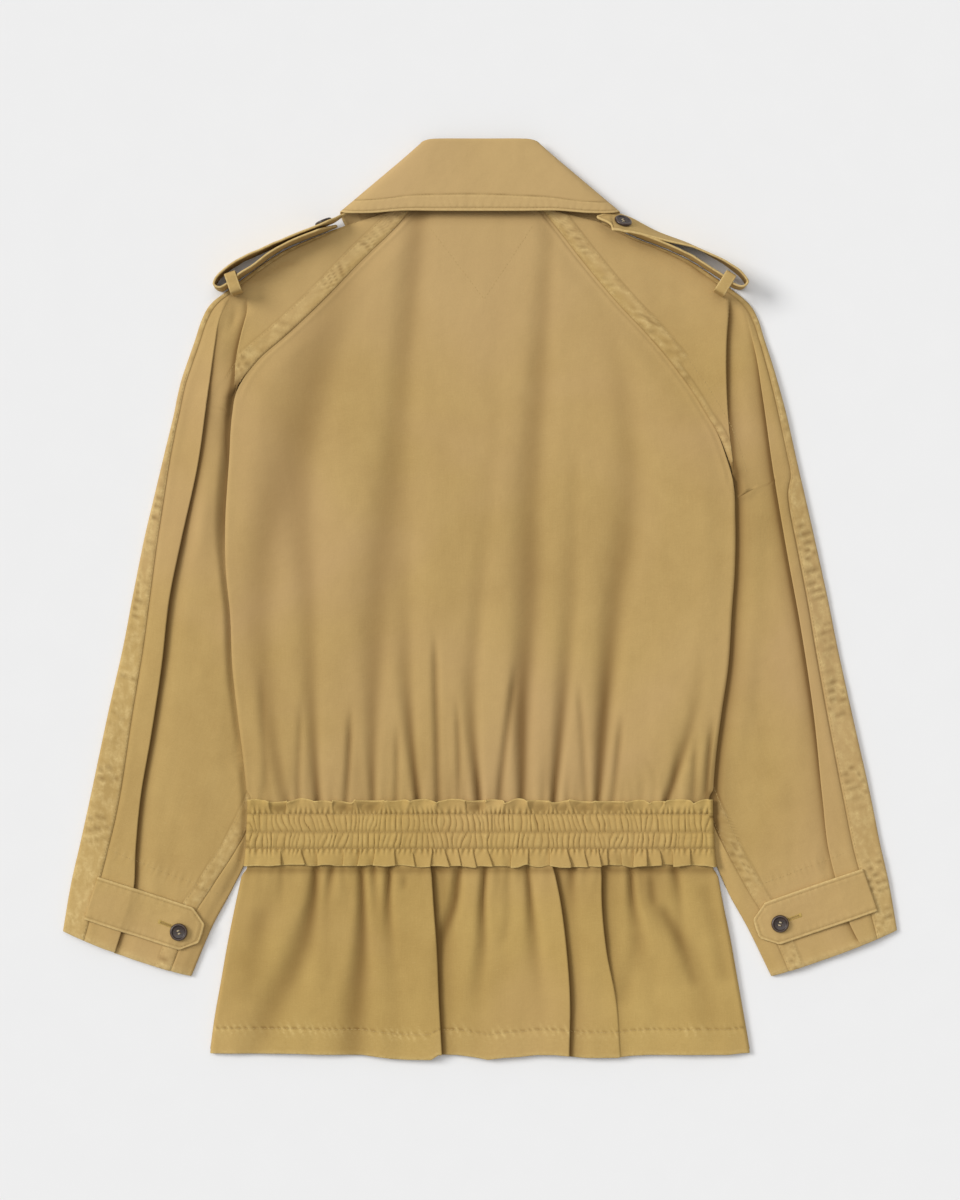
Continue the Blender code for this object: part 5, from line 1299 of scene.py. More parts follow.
def make_sleeve(side):
    parts, over, under, first_open, count = sleeve_curves(side)
    sign = SIGN[side]
    seam = BACK_SEAM[side]
    front_rows_, back_rows = [], []
    front_wear_shade, back_wear_shade, back_pale = [], [], []
    seams = {"over": [], "under": [], "under_far": []}
    run = 0.0
    before = None
    for t in fine_sections(side):
        out = np.array([float(parts["x_out"](t)), float(parts["y_out"](t))])
        top = np.array([float(parts["x_top"](t)), float(parts["y_top"](t))])
        low = np.array([float(parts["x_low"](t)), float(parts["y_low"](t))])
        if before is not None:
            run += float(np.linalg.norm(out - before))
        before = out
        is_open = t > first_open - 0.999
        closed = float(step(first_open - t)) if is_open else 1.0
        if is_open and t >= first_open + 1:
            seam_x = -float(back_left(top[1])) if side == "left" else float(back_right(top[1]))
            near = float(step(t - first_open - 1))
            top[0] = top[0] * (1 - near) + (seam_x + 0.30) * near
        seam_z = float(back_surface(sign * top[0], top[1])[0])
        width = float(np.linalg.norm(top - out))
        ray_up = (top - out) / width
        down = np.array([ray_up[1], -ray_up[0]]) if ray_up[0] > 0 else np.array([-ray_up[1], ray_up[0]])
        over_at, under_at = float(over(out[1])), float(under(out[1]))
        over_at = max(over_at, 4.2 / width)
        gap = 0.06 / width
        fold = 2.4 / width

        def upper(shares):
            shares = np.asarray(shares, float)
            p = out[None] + ray_up[None] * (width * shares)[:, None]
            p = p + down[None] * np.array([cuff_bow(side, t, s) for s in shares])[:, None]
            z, shift, deep = sleeve_cloth(side, p[:, 0], p[:, 1], width * shares, shares, seam_z, 1.0 - closed)
            return p, z, shift, deep

        # ---- back piece
        end = 1.0 if closed == 0 else closed * (under_at - gap) + (1 - closed) * 1.0
        start = over_at + gap
        marks = []
        for kind, w, xf, amp, y0, y1 in PLEAT_LINES[side]:
            s = 0.5
            for _ in range(12):
                p = out + ray_up * width * s
                s += (p[0] - float(xf(p[1]))) / max(width * abs(ray_up[0]), 1) * 0.8
                s = min(max(s, 0.0), 1.0)
            marks.append(s)
        shares = columns_by(start, end, 100, marks, 3.5, 5.0 / width)
        p, z, shift, deep = upper(shares)
        d_over = (shares - start) * width
        z = z - 0.55 * np.exp(-((d_over / 1.3) ** 2)) + 0.25 * np.exp(-(((d_over - 4) / 3.0) ** 2))
        # Painted shade at the overarm seam's line and in the pleat hollows.
        wear, painted_shade = np.zeros(100), 0.50 * np.exp(-((d_over / 0.8) ** 2)) + 0.90 * deep
        if t > first_open + 0.2:
            d, s, total = along(seam, sign * p[:, 0], p[:, 1])
            d = np.abs(d)
            here = step((t - first_open - 0.2) / 0.8) * step((total - s - 1.0) / 12.0)
            wide = 14.5 if side == "left" else 5.5 + 9.0 * step((p[:, 1] - 200) / 7)
            bz, bw, band_shade = puckered(d, s, wide, 71 if side == "left" else 72, 0.50, 0.60, (4.5, 9.0), 0.8)
            z = z + here * (bz - 0.35 * np.exp(-((d / 1.1) ** 2)))
            wear = wear + here * bw * 0.85
            # Painted shade between the raglan band's puckers, along its stitch line and at its far edge.
            painted_shade = painted_shade + here * (band_shade + 0.45 * np.exp(-((d / 0.7) ** 2)) + 0.30 * np.exp(-(((d - wide - 0.1) / 0.8) ** 2)))
        if out[1] < -60:
            d = (end - shares) * width
            here = float(step((-60 - out[1]) / 20))
            bz, bw, band_shade = puckered(d, np.full(d.shape, run * 0.8), 14.0, 73 if side == "left" else 74, 0.45, 0.5, (4.2, 7.5), 0.7)
            z = z + here * (bz - 0.4 * np.exp(-((d / 1.0) ** 2)))
            wear = wear + here * bw * 0.8
            # Painted shade between the underarm band's puckers and along its two edges.
            painted_shade = painted_shade + here * (band_shade + 0.45 * np.exp(-((d / 0.8) ** 2)) + 0.30 * np.exp(-(((d - 14.2) / 0.8) ** 2)))
            if here > 0.5:
                for key, off in (("under", 1.5), ("under_far", 12.8)):
                    q = out + ray_up * width * (end - off / width)
                    seams[key].append((sign * q[0], q[1]))
        # The turned cuff hem and its puckers.
        rise, facing_wear = cuff_detail(side, sign * p[:, 0], p[:, 1])
        z, wear = z + rise, wear + facing_wear
        along_x = ray_up[0] * shift * -1
        along_y = ray_up[1] * shift * -1
        pts = np.stack([sign * (p[:, 0] + shift), p[:, 1] + 0 * along_y, z], 1)
        back_rows.append(pts)
        back_wear_shade.append((wear, painted_shade))
        back_pale.append(0.50 * step((p[:, 1] - 190) / 90) * step((0.97 - shares) * 8) * step((t - first_open) / 3))
        # ---- front piece: over the outer fold and underneath
        edge = over_at - gap
        shares = np.linspace(edge, fold, 18)
        p, z, _, _ = upper(shares)
        d = (edge - shares) * width
        band = max(edge * width, 3.0)
        bz, bw, band_shade = puckered(d, np.full(d.shape, run), band + 3.0, 75 if side == "left" else 76, 0.52, 0.55, (5.0, 10.0), 0.45)
        strong = 0.75 + 0.35 * (out[1] < 120)
        z = z + bz * strong - 0.30 * np.exp(-((d / 1.0) ** 2))
        rise, facing_wear = cuff_detail(side, sign * p[:, 0], p[:, 1])
        wear = np.clip(bw * 1.05 + 0.12 + facing_wear, 0, 1)
        # Painted shade between the puckers and along the seam's ditch.
        painted_shade = band_shade + 0.35 * np.exp(-((d / 0.8) ** 2))
        seams["over"].append((sign * (out + ray_up * width * (edge - 1.5 / width))[0], (out + ray_up * width * (edge - 1.5 / width))[1]))
        pts = [np.stack([sign * p[:, 0], p[:, 1], z], 1)]
        fin_w, painted_shade_parts = [wear], [painted_shade]
        zt = z[-1]
        lift = float(over_wings(out[0], out[1]))
        base = FLOOR + lift - 0.1
        middle, half = (zt + base) / 2, (zt - base) / 2
        at = fold * width
        a = np.radians(np.array([26, 52, 78, 102, 128, 154, 180]))
        q = out[None] + ray_up[None] * (at * (1 - np.sin(a)))[:, None]
        pts.append(np.stack([sign * q[:, 0], q[:, 1], middle + half * np.cos(a)], 1))
        fin_w.append(np.linspace(wear[-1] * 0.9, 0.1, 7))
        painted_shade_parts.append(np.zeros(7))
        span = low - out
        length = float(np.linalg.norm(span))
        ray = span / length
        if is_open and t >= first_open:
            low = low + ray * -0.3
        r_share = np.linspace(0.06, 0.78, 15)
        q = out[None] + ray[None] * (length * r_share)[:, None]
        q = q + down[None] * np.array([cuff_bow(side, t, s) for s in r_share])[:, None]
        pts.append(np.stack([sign * q[:, 0], q[:, 1], FLOOR - 0.1 + over_wings(q[:, 0], q[:, 1])], 1))
        # The inner fold, which opens out into the front raglan seam.
        in_z = float(sleeve_height(side, top[0], top[1], width, 1.0, seam_z, False))
        if out[1] < -150:
            in_z = max(in_z * 0.75, SLEEVE_TUCK)
        r_in = max((in_z - FLOOR) / 2, 0.75)
        a = np.radians(np.array([180, 154, 128, 102, 78, 52, 26, 0]))
        reach = length - r_in * (1 - np.sin(a))
        wrapped = out[None] + ray[None] * reach[:, None]
        wz = FLOOR - 0.1 + r_in + r_in * np.cos(a)
        flat = out[None] + ray[None] * (length * np.linspace(0.80, 0.95, 8))[:, None]
        q = closed * wrapped + (1 - closed) * flat
        fz = FLOOR - 0.1 + over_wings(q[:, 0], q[:, 1])
        pts.append(np.stack([sign * q[:, 0], q[:, 1], closed * wz + (1 - closed) * fz], 1))
        back_to = (1 - under_at) * width
        flat_end = out + ray * (length - 0.3)
        flat_end = np.array([*flat_end, FLOOR - 0.1 + float(over_wings(*flat_end))])
        k = np.linspace(0, 1, 9)[1:]
        start_s = (length - r_in) / width
        if back_to < 2 * r_in or is_open:
            tip = np.array([*(out + ray * (length - r_in - 0.6)), in_z])
            lead = np.array([*q[-1], wz[-1]])
            strip = lead[None] + (tip - lead)[None] * k[:, None]
        else:
            shares = start_s + (under_at + gap - start_s) * k
            sp, sz, _, _ = upper(shares)
            blend = step((length - r_in - shares * width) / 9.0)
            sz = in_z + (sz - in_z) * blend
            rise, _ = cuff_detail(side, sign * sp[:, 0], sp[:, 1])
            strip = np.stack([sp[:, 0], sp[:, 1], sz + rise * blend], 1)
        if is_open:
            lead = np.array([*q[-1], FLOOR - 0.1])
            level = lead[None] + (flat_end - lead)[None] * k[:, None]
            strip = closed * strip + (1 - closed) * level
        pts.append(np.stack([sign * strip[:, 0], strip[:, 1], strip[:, 2]], 1))
        rest = 15 + 8 + 8
        fin_w.append(np.full(rest, 0.05))
        painted_shade_parts.append(np.zeros(rest))
        front_rows_.append(np.concatenate(pts))
        front_wear_shade.append((np.concatenate(fin_w), np.concatenate(painted_shade_parts)))
    # The cut of the cuff: its edge is a pressed fold, a little worn, with its painted shade halved.
    for wear_shade in (front_wear_shade, back_wear_shade):
        for k, strength in ((0, 0.85), (1, 0.25)):
            wear_shade[k] = (np.clip(wear_shade[k][0] + strength, 0, 1), 0.5 * wear_shade[k][1])
    front = sheet_mesh("sleeve_front_cloth_" + side, np.array(front_rows_), TWILL, wall=0.85,
                       wear=np.array([f[0] for f in front_wear_shade]), painted_shade=np.array([f[1] for f in front_wear_shade]))
    back = sheet_mesh("sleeve_back_cloth_" + side, np.array(back_rows), TWILL,
                      wear=np.array([f[0] for f in back_wear_shade]), painted_shade=np.array([f[1] for f in back_wear_shade]), pale=np.array(back_pale))
    EDGE_LINES[side].update(seams)
    return front, back


CUFF_STITCH = {
    "left": spots((107, 849), (123, 856), (137, 862), (164, 873), (192, 883), (209, 891), (223, 896)),
    "right": spots((845, 853), (831, 859), (806, 868), (780, 878), (762, 884), (745.5, 890)),
}
CUFF_EDGE = {"left": [(-355, -281), (-246, -319)], "right": [(355, -281), (248, -320)]}


def cuff_detail(side, x, y):
    """The deep facing inside the cuff: a stitched line across the sleeve and a soft step at the turned edge."""
    if np.min(y) > -190:
        return 0.0, 0.0
    line = smooth_line(CUFF_STITCH[side], 5.0)
    d, s, total = along(line, x, y)
    ph = phase_of(uneven(81, -10, 200, 4.0, 8.0), s)
    near = np.exp(-((d / 4.5) ** 2))
    z = -0.36 * np.exp(-((d / 0.9) ** 2)) + 0.20 * near * np.cos(ph)
    e, _, _ = along(CUFF_EDGE[side], x, y)
    e = np.abs(e)
    z = z + 0.30 * step((6 - e) / 6)
    return z, 0.22 * near * np.clip(np.cos(ph), 0, 1) + 0.10 * step((70 - e) / 4)


# -------------------------------------------------------------------- fronts
def make_fronts():
    made = {}
    for side in ("left", "right"):
        sign = SIGN[side]
        off = 310 if side == "left" else 350

        def panel(name, ys, is_strip=False, inner=None, count=64, wall=WALL):
            neck = FRONT_NECK[::-1]
            rows = []
            wear_rows, painted_shade_rows = [], []
            for y in ys:
                start = float(np.interp(y, [r[0] for r in neck], [r[1] for r in neck])) if inner is None else inner
                out = front_out(y, side) if not is_strip else float(side_edge(y, side))
                low_row = RAGLAN_FRONT[side][-1][0]
                turn = float(step((low_row + 4 - y) / 12)) * (1 if is_strip else 1 - float(waist(y)))
                cols = np.linspace(start, out - min(3.0, 0.2 * (out - start)), count)
                z = front_height(sign * cols, np.full(cols.shape, float(y)), side, is_strip) - 0.1
                z = z + 0.10 * (1 + mid(cols / 26 + off, y / 60)) * step((cols - start) / 8)
                wear, painted_shade = np.zeros(count), np.zeros(count)
                if is_strip:
                    # The strip takes the waist casing's wear and painted shade.
                    _, _, cz, wear, painted_shade = casing_point(cols + off, np.full(cols.shape, y))
                    z = z + np.clip(0.22 * cz, -0.12, 0.42)
                level = float(SIDE_LEVEL(y)) - 0.03
                tail = np.array([(x, y, zz) for x, zz in curl_fine(cols[-1], z[-1], out, level, turn, 5)])
                P = np.concatenate([np.stack([cols, np.full(count, y), z], 1), tail])
                P[:, 0] *= sign
                rows.append(P)
                wear_rows.append(np.concatenate([wear, np.full(5, wear[-1])]))
                painted_shade_rows.append(np.concatenate([painted_shade, np.full(5, painted_shade[-1])]))
            return sheet_mesh(name, np.array(rows), TWILL, wall, np.array(wear_rows), np.array(painted_shade_rows))

        made["front_panel_" + side] = panel(
            "front_cloth_" + side, np.concatenate([np.linspace(306, 60, 46), np.linspace(55, -150, 26), np.linspace(-154, -195, 14)]))
        made["peplum_front_" + side] = panel("peplum_front_cloth_" + side, np.concatenate([np.linspace(-196, -240, 14), np.linspace(-245, -383, 30)]),
                                             inner=-LAP, count=60)
        made["waist_casing_front_" + side] = panel(
            "waist_casing_front_cloth_" + side, np.linspace(-172, -226, 34), True, -LAP if side == "right" else LAP + 9 + 2, 120, 0.75)
    return made


# -------------------------------------------------------------------- collar
def make_collar():
    half = [tuple(r) for r in COLLAR]
    full = np.array([(-r[0], r[1], r[2], -r[3], r[4], r[5]) for r in half[:0:-1]] + half, float)
    index = np.arange(len(full))
    lines = [curve(index, full[:, k]) for k in range(6)]
    # Rows follow the leaf's edge evenly.
    t = np.linspace(0, len(full) - 1, 900)
    run = np.concatenate([[0], np.cumsum(np.linalg.norm(np.diff(np.stack([lines[3](t), lines[4](t), lines[5](t)], 1), axis=0), axis=1))])
    ts = np.interp(np.linspace(0, run[-1], 236), run, t)
    s = np.concatenate([np.linspace(0, 0.66, 20), np.linspace(0.68, 0.86, 14), np.linspace(0.87, 0.955, 8), np.array([0.966, 0.977, 0.988, 1.0])])
    rows, wears, painted_shades = [], [], []
    for t_ in ts:
        xa, ya, za, xb, yb, zb = (float(f(t_)) for f in lines)
        length = math.hypot(xb - xa, yb - ya)
        x, y = xa + (xb - xa) * s, ya + (yb - ya) * s
        up = min(1.0, za / 12)
        z = za + (zb - za) * s + (0.9 * np.sin(math.pi * s)) * up
        z = z + COLLAR_EASE(xb, s) * up
        d = (1 - s) * length                                  # from the free edge
        facing = 1.0
        ph = phase_of(uneven(91, -300, 300, 3.6, 8.5), x + 0.30 * (d - 7) * mid(x / 30, 2.2) + 1.5 * mid(x / 16, d / 7))
        line_at = collar_band(x)
        band = step((line_at + 0.4 - d) / 1.0) * step((d - 1.5) / 2.0)
        close = np.exp(-(((d - 4.0) / 3.4) ** 2)) + 0.45 * np.exp(-(((d - line_at + 2.5) / 2.4) ** 2))
        size = 0.65 + 0.5 * mid(x / 24 + 7, 4.4)
        z = z + up * (0.17 * band * size * close * np.cos(ph) + 0.34 * band)
        z = z - up * 0.42 * np.exp(-(((d - line_at) / 0.8) ** 2)) - up * 0.36 * np.exp(-(((d - 2.6) / 0.7) ** 2))
        z = z + up * (0.28 * mid(x / 26 + 400, y / 26) + 0.10 * fine(x / 8 + 400, y / 8) + 0.04 * fine(x / 4 + 480, y / 4))
        wear = 0.12 * band + 0.30 * band * size * close * np.clip(np.cos(ph), 0, 1) * (0.6 + 0.5 * fine(x / 3, d / 3)) \
            + 0.95 * np.exp(-((d / 1.3) ** 2)) + 0.35 * np.exp(-(((d - line_at + 1.5) / 0.6) ** 2))
        # Painted shade in the sunk stitch lines and between the band's puckers.
        painted_shade = 0.70 * np.exp(-(((d - line_at) / 0.75) ** 2)) * (0.75 + 0.35 * mid(x / 9, 77.0)) + 0.40 * np.exp(-(((d - 2.6) / 0.6) ** 2)) \
            + 0.22 * band * close * np.clip(-np.cos(ph) - 0.4, 0, 1)
        body = np.stack([x, y, z], 1)
        # The roll at the top, down to the stand.
        a = np.radians(np.array([78, 52, 26]))
        lead = body[0]
        back = np.stack([lead[0] + 0 * a, lead[1] + 0.55 * np.sin(a) * up - 0.15 * up, lead[2] - 1.0 * up * (1 - np.cos(a)) - 0.1 * up * a], 1)
        rows.append(np.concatenate([back, body]))
        wears.append(np.concatenate([np.full(3, 0.15), wear + 0.12 * np.exp(-((s * length / 1.5) ** 2))]))
        painted_shades.append(np.concatenate([np.zeros(3), painted_shade]))
    # The leaf is painted paler all over: painted light, for a face turned up towards the lamps.
    fall = sheet_mesh("collar_fall_cloth", np.array(rows), TWILL, wall=1.15, wear=np.array(wears), painted_shade=np.array(painted_shades), pale=0.8)
    rows = []
    for x in np.linspace(-44, 44, 90):
        v = np.linspace(0, 1, 26)
        y = 388.6 + (339.0 - 388.6) * v
        z = np.interp(v, [0, 0.335, 0.68, 1], [9.9 - 0.0006 * x * x, 9.3, 8.1, 7.3]) - 0.25 * np.exp(-(((v - 0.12) * 49.6) ** 2))
        z = z + 0.10 * mid(x / 16 + 70, y / 16)
        rows.append(np.stack([x * (1 + 0.05 * v), y, z], 1))
    stand = sheet_mesh("collar_stand_cloth", np.array(rows), TWILL, wall=1.0)
    return fall, stand


def collar_band(x):
    """Width of the stitched band along the collar's free edge."""
    return np.clip(13.95 - 0.0143 * np.asarray(x, float), 12.8, 15.2)


def COLLAR_EASE(x_edge, s):
    """The free edge of the leaf stands off a little and waves."""
    return 0.9 * s**3 * (0.5 + 0.6 * coarse(x_edge / 46 + 5, 2.2))


# ------------------------------------------------------ straps, keepers, tabs
def strap_frame(side):
    """Smooth lines of the strap's path: x, y, lean, low and high by place."""
    path = STRAPS[side]
    last = len(path) - 1
    lows, highs = [], []
    for k in range(len(path)):
        low, high = STRAP_LOW, STRAP_TOP
        if k >= last - 2:
            low = 5.2
        if k == last:
            low, high = (6.8, 8.4) if side == "left" else (15.4, 17.9)
        elif k == last - 1:
            low, high = (6.2, 8.0) if side == "left" else (8.4, STRAP_TOP)
        elif k == 0:
            low, high = 3.5, 9.0
        lows.append(low)
        highs.append(high)
    p = np.array(path, float)
    index = np.arange(len(path))
    return [curve(index, p[:, 0]), curve(index, p[:, 1]), lambda t: np.interp(t, index, p[:, 2]),
            lambda t: np.interp(t, index, lows), lambda t: np.interp(t, index, highs)], last


def make_straps():
    made = {}
    for side in ("left", "right"):
        sign = SIGN[side]
        (fx, fy, lean, low, high), last = strap_frame(side)
        t = np.linspace(0, last, 1500)
        run = np.concatenate([[0], np.cumsum(np.hypot(np.diff(fx(t)), np.diff(fy(t))))])
        ts = np.interp(np.linspace(0, run[-1], 210), run, t)
        at = np.interp(ts, t, run)
        h = 0.02
        tx, ty = fx(ts + h) - fx(ts - h), fy(ts + h) - fy(ts - h)
        size = np.hypot(tx, ty)
        nx, ny = -ty / size, tx / size                        # to the left of the way it runs
        rows, wears, painted_shades = [], [], []
        n = Noise(101 if side == "left" else 102)
        for k, tt in enumerate(ts):
            lo, hi, le = float(low(tt)), float(high(tt)), float(lean(tt))
            s = np.concatenate([[0, 0.025, 0.05, 0.08], np.linspace(0.12, 0.88, 14), [0.92, 0.95, 0.975, 1.0]])
            across = s * (hi - lo)
            edge = np.minimum(across, (hi - lo) - across)
            bump = 0.14 * n(at[k] / 7.0, 1 + across / 9) + 0.25 * n(at[k] / 24.0, 30 + across / 20)
            x = fx(tt) + nx[k] * (le * s + bump)
            y = fy(tt) + ny[k] * (le * s + bump)
            rows.append(np.stack([sign * x, y, lo + across], 1))
            groove = np.exp(-(((edge - 2.2) / 0.7) ** 2))
            wears.append(0.85 * np.exp(-((edge / 1.0) ** 2)) + 0.12 + 0.15 * step((3.2 - edge) / 2) * (0.5 + 0.5 * n(at[k] / 3.0, 60.0)))
            # Painted shade in the sunk stitch grooves near both long edges.
            painted_shades.append(0.35 * groove)
        made["epaulette_" + side] = sheet_mesh("strap_cloth_" + side, np.array(rows), TWILL, wall=1.8, wear=np.array(wears), painted_shade=np.array(painted_shades))
        # keeper: an upside-down U over the strap's lower layer
        (xi, yi), (xo, yo) = KEEPERS[side]
        a, b = np.array([xi, yi]), np.array([xo, yo])
        way = (b - a) / np.linalg.norm(b - a)
        cross = np.array([-way[1], way[0]])
        top = STRAP_TOP + STRAP_THICK / 2 - 1 + GAP + CLOTH / 2 + 0.2
        length = float(np.linalg.norm(b - a))
        profile = [(0, 7.6), (0, 17), (0, top - 3.4), (0.35, top - 1.9), (1.2, top - 0.7), (2.6, top - 0.1), (length / 2, top),
                   (length - 2.6, top - 0.1), (length - 1.2, top - 0.7), (length - 0.35, top - 1.9), (length, top - 3.4), (length, 14), (length, 1.3)]
        line = smooth_line(profile, 0.7)
        rows, wears = [], []
        for q in line:
            s = np.array([-1, -0.94, -0.86, -0.72, -0.5, -0.25, 0, 0.25, 0.5, 0.72, 0.86, 0.94, 1.0])
            c = a + way * min(max(q[0], 0), length)
            w = c[None] + cross[None] * (s * KEEPER_WIDE / 2)[:, None]
            puff = 0.10 * np.cos(math.pi * s)
            rows.append(np.stack([sign * w[:, 0], w[:, 1], np.full(13, q[1]) + puff], 1))
            wears.append(0.75 * np.exp(-(((1 - np.abs(s)) * 4.5 / 0.7) ** 2)) + 0.2)
        made["epaulette_keeper_" + side] = sheet_mesh("keeper_cloth_" + side, np.array(rows), TWILL, wall=1.1, wear=np.array(wears))
    return made


TAB_OUTLINE = ((0, 18.6), (20, 18.8), (50, 18.8), (84, 18.6), (85.5, 18.2), (98.0, 8.6), (98.8, 7.0))
BUTTONHOLE = {"left": (spot(159.5, 921.8), spot(176, 928)), "right": (spot(800.5, 915.4), spot(783, 922))}


def make_tabs(sleeve_tops):
    made = {}
    for side in ("left", "right"):
        sign = SIGN[side]
        sleeve_top = sleeve_tops[side]
        (x0, y0), (x1, y1) = TABS[side]
        start, stop = np.array([x0, y0]), np.array([x1, y1])
        length = float(np.linalg.norm(stop - start))
        axis = (stop - start) / length
        across = np.array([-axis[1], axis[0]])
        rows, wears, painted_shades, tops = [], [], [], []
        n = Noise(111 if side == "left" else 112)
        ss = np.concatenate([np.linspace(0, 82, 72), np.linspace(82.8, 98.8, 18)])
        u = np.concatenate([[-1, -0.975, -0.95, -0.92], np.linspace(-0.88, 0.88, 30), [0.92, 0.95, 0.975, 1.0]])
        hole_a, hole_b = BUTTONHOLE[side]
        for s in ss:
            half = float(np.interp(s, [r[0] for r in TAB_OUTLINE], [r[1] for r in TAB_OUTLINE]))
            c = start + axis * s * length / 97.0
            P = c[None] + across[None] * (u * half)[:, None]
            base = [sleeve_top(sign * p[0], p[1], 5.6) for p in P]
            rows.append(np.stack([sign * P[:, 0], P[:, 1], np.array(base)], 1))
        P = np.array(rows)
        # The tab is stiffer than the sleeve: it bridges the hollows under it.
        z = P[..., 2]
        for _ in range(26):
            wide = np.pad(z, 2, mode="edge")
            soft = sum(wide[2 + i:2 + i + z.shape[0], 2 + j:2 + j + z.shape[1]] for i in (-2, -1, 0, 1, 2) for j in (-2, -1, 0, 1, 2)) / 25
            z = np.maximum(soft, P[..., 2])
        S, U = np.meshgrid(ss, u, indexing="ij")
        H = np.interp(S, [r[0] for r in TAB_OUTLINE], [r[1] for r in TAB_OUTLINE])
        edge = np.minimum((1 - np.abs(U)) * H, 98.8 - S)
        corner = np.clip((98.4 - S) * 0.72 - (np.abs(U) * H - 8.0) * 0.72, 0, None)
        edge = np.minimum(edge, np.where(S > 80, np.maximum(corner, 0), 99))
        z = z + 1.75 + 0.20 * n(S / 14, U * H / 9) + 0.07 * n(S / 4 + 40, U * H / 4)
        z = z - 0.30 * np.exp(-(((edge - 2.3) / 0.75) ** 2)) + 0.12 * np.exp(-(((edge - 4.4) / 1.4) ** 2))
        ph = phase_of(uneven(121, -10, 120, 4.5, 8.0), S)
        rim = np.exp(-(((edge - 4.0) / 3.0) ** 2))
        z = z + 0.10 * rim * np.cos(ph)
        d, _, _ = along([hole_a, hole_b], P[..., 0], P[..., 1])
        slit = np.exp(-((np.abs(d) / 0.7) ** 2))
        z = z - 0.35 * slit
        wear = 0.95 * np.exp(-((edge / 1.1) ** 2)) + 0.18 * rim * np.clip(np.cos(ph), 0, 1) + 0.10
        # Painted shade in the stitch groove round the edge and in the buttonhole's slit.
        painted_shade = 0.30 * np.exp(-(((edge - 2.3) / 0.6) ** 2)) + 0.9 * slit
        P[..., 2] = z
        made["cuff_tab_" + side] = sheet_mesh("tab_cloth_" + side, P, TWILL, wall=1.7, wear=wear, painted_shade=painted_shade)
    return made


# ------------------------------------------------------- stitches and buttons
def tree_of(*objs):
    """Something that gives the height of the top of these pieces at a place in mm."""
    verts, faces, base = [], [], 0
    for obj in objs:
        mesh = obj.data
        co = np.empty(len(mesh.vertices) * 3)
        mesh.vertices.foreach_get("co", co)
        verts.append(co.reshape(-1, 3))
        faces += [[base + i for i in p.vertices] for p in mesh.polygons]
        base += len(mesh.vertices)
    tree = BVHTree.FromPolygons(np.concatenate(verts).tolist(), faces)
    down = mathutils.Vector((0, 0, -1))

    def height(x, y, default=6.0):
        hit = tree.ray_cast(mathutils.Vector((x / 1000, y / 1000, 0.08)), down)
        return hit[0].z * 1000 if hit[0] is not None else default

    return height


def capsules(ends_a, ends_b, radius, lift, sink, sides=5):
    """Vertices and faces of one small rounded stitch for each pair of ends."""
    A, B = np.asarray(ends_a, float), np.asarray(ends_b, float)
    way = unit(B - A)
    up = np.array([0, 0, 1.0])[None].repeat(len(A), 0)
    wide = unit(np.cross(up, way))
    up = np.cross(way, wide)
    stations = ((0.0, 0.35, -sink), (0.14, 0.85, -0.35 * sink), (0.5, 1.0, lift), (0.86, 0.85, -0.35 * sink), (1.0, 0.35, -sink))
    rings = []
    for share, size, dz in stations:
        c = A + (B - A) * share + np.array([0, 0, dz])
        for k in range(sides):
            a = 2 * math.pi * k / sides
            rings.append(c + radius * size * (math.cos(a) * wide + math.sin(a) * up))
    V = np.stack(rings, 1)                                   # stitches, rings * sides, 3
    count, per = V.shape[:2]
    local = []
    for r in range(len(stations) - 1):
        for k in range(sides):
            n = (k + 1) % sides
            local.append((r * sides + k, r * sides + n, (r + 1) * sides + n, (r + 1) * sides + k))
    caps = [tuple(range(sides))[::-1], tuple((len(stations) - 1) * sides + k for k in range(sides))]
    faces = [tuple(base + i for i in f) for base in range(0, count * per, per) for f in (*local, *caps)]
    return V.reshape(-1, 3), faces


def stitch_row(line, height, pitch=3.0, share=0.74, seed=1, raise_=0.0, wander=0.10):
    """Ends of the stitches along a line in x, y laid on a surface."""
    dense = smooth_line(line, 0.6) if len(line) > 2 else np.linspace(line[0], line[-1], 400)
    t = np.concatenate([[0], np.cumsum(np.hypot(*np.diff(dense[:, :2], axis=0).T))])
    rng = np.random.default_rng(seed)
    at, A, B = 0.4, [], []
    while at + pitch < t[-1]:
        long_ = pitch * share * rng.uniform(0.92, 1.08)
        pair = []
        for s in (at, at + long_):
            x, y = np.interp(s, t, dense[:, 0]), np.interp(s, t, dense[:, 1])
            x, y = x + rng.normal(0, wander), y + rng.normal(0, wander)
            pair.append((x, y, height(x, y) + raise_))
        if abs(pair[0][2] - pair[1][2]) < 1.4:
            A.append(pair[0])
            B.append(pair[1])
        at += pitch
    return A, B


def stitches(name, rows, mat=None, radius=0.24, lift=0.10, sink=0.16):
    A = [p for row in rows for p in row[0]]
    B = [p for row in rows for p in row[1]]
    V, F = capsules(A, B, radius, lift, sink)
    return link(name, V, F, mat or THREAD)


def offset_line(line, off):
    """The line moved off mm to its left."""
    p = np.asarray(line, float)[:, :2]
    d = np.gradient(p, axis=0)
    d = d / np.maximum(np.hypot(d[:, 0], d[:, 1])[:, None], 1e-9)
    return p + off * np.stack([-d[:, 1], d[:, 0]], 1)


def frame_at(place, normal, turn=0.0):
    n = mathutils.Vector(normal).normalized()
    q = n.to_track_quat("Z", "Y").to_matrix().to_4x4()
    return mathutils.Matrix.Translation(mathutils.Vector(place) / 1000) @ q @ mathutils.Matrix.Rotation(turn, 4, "Z")


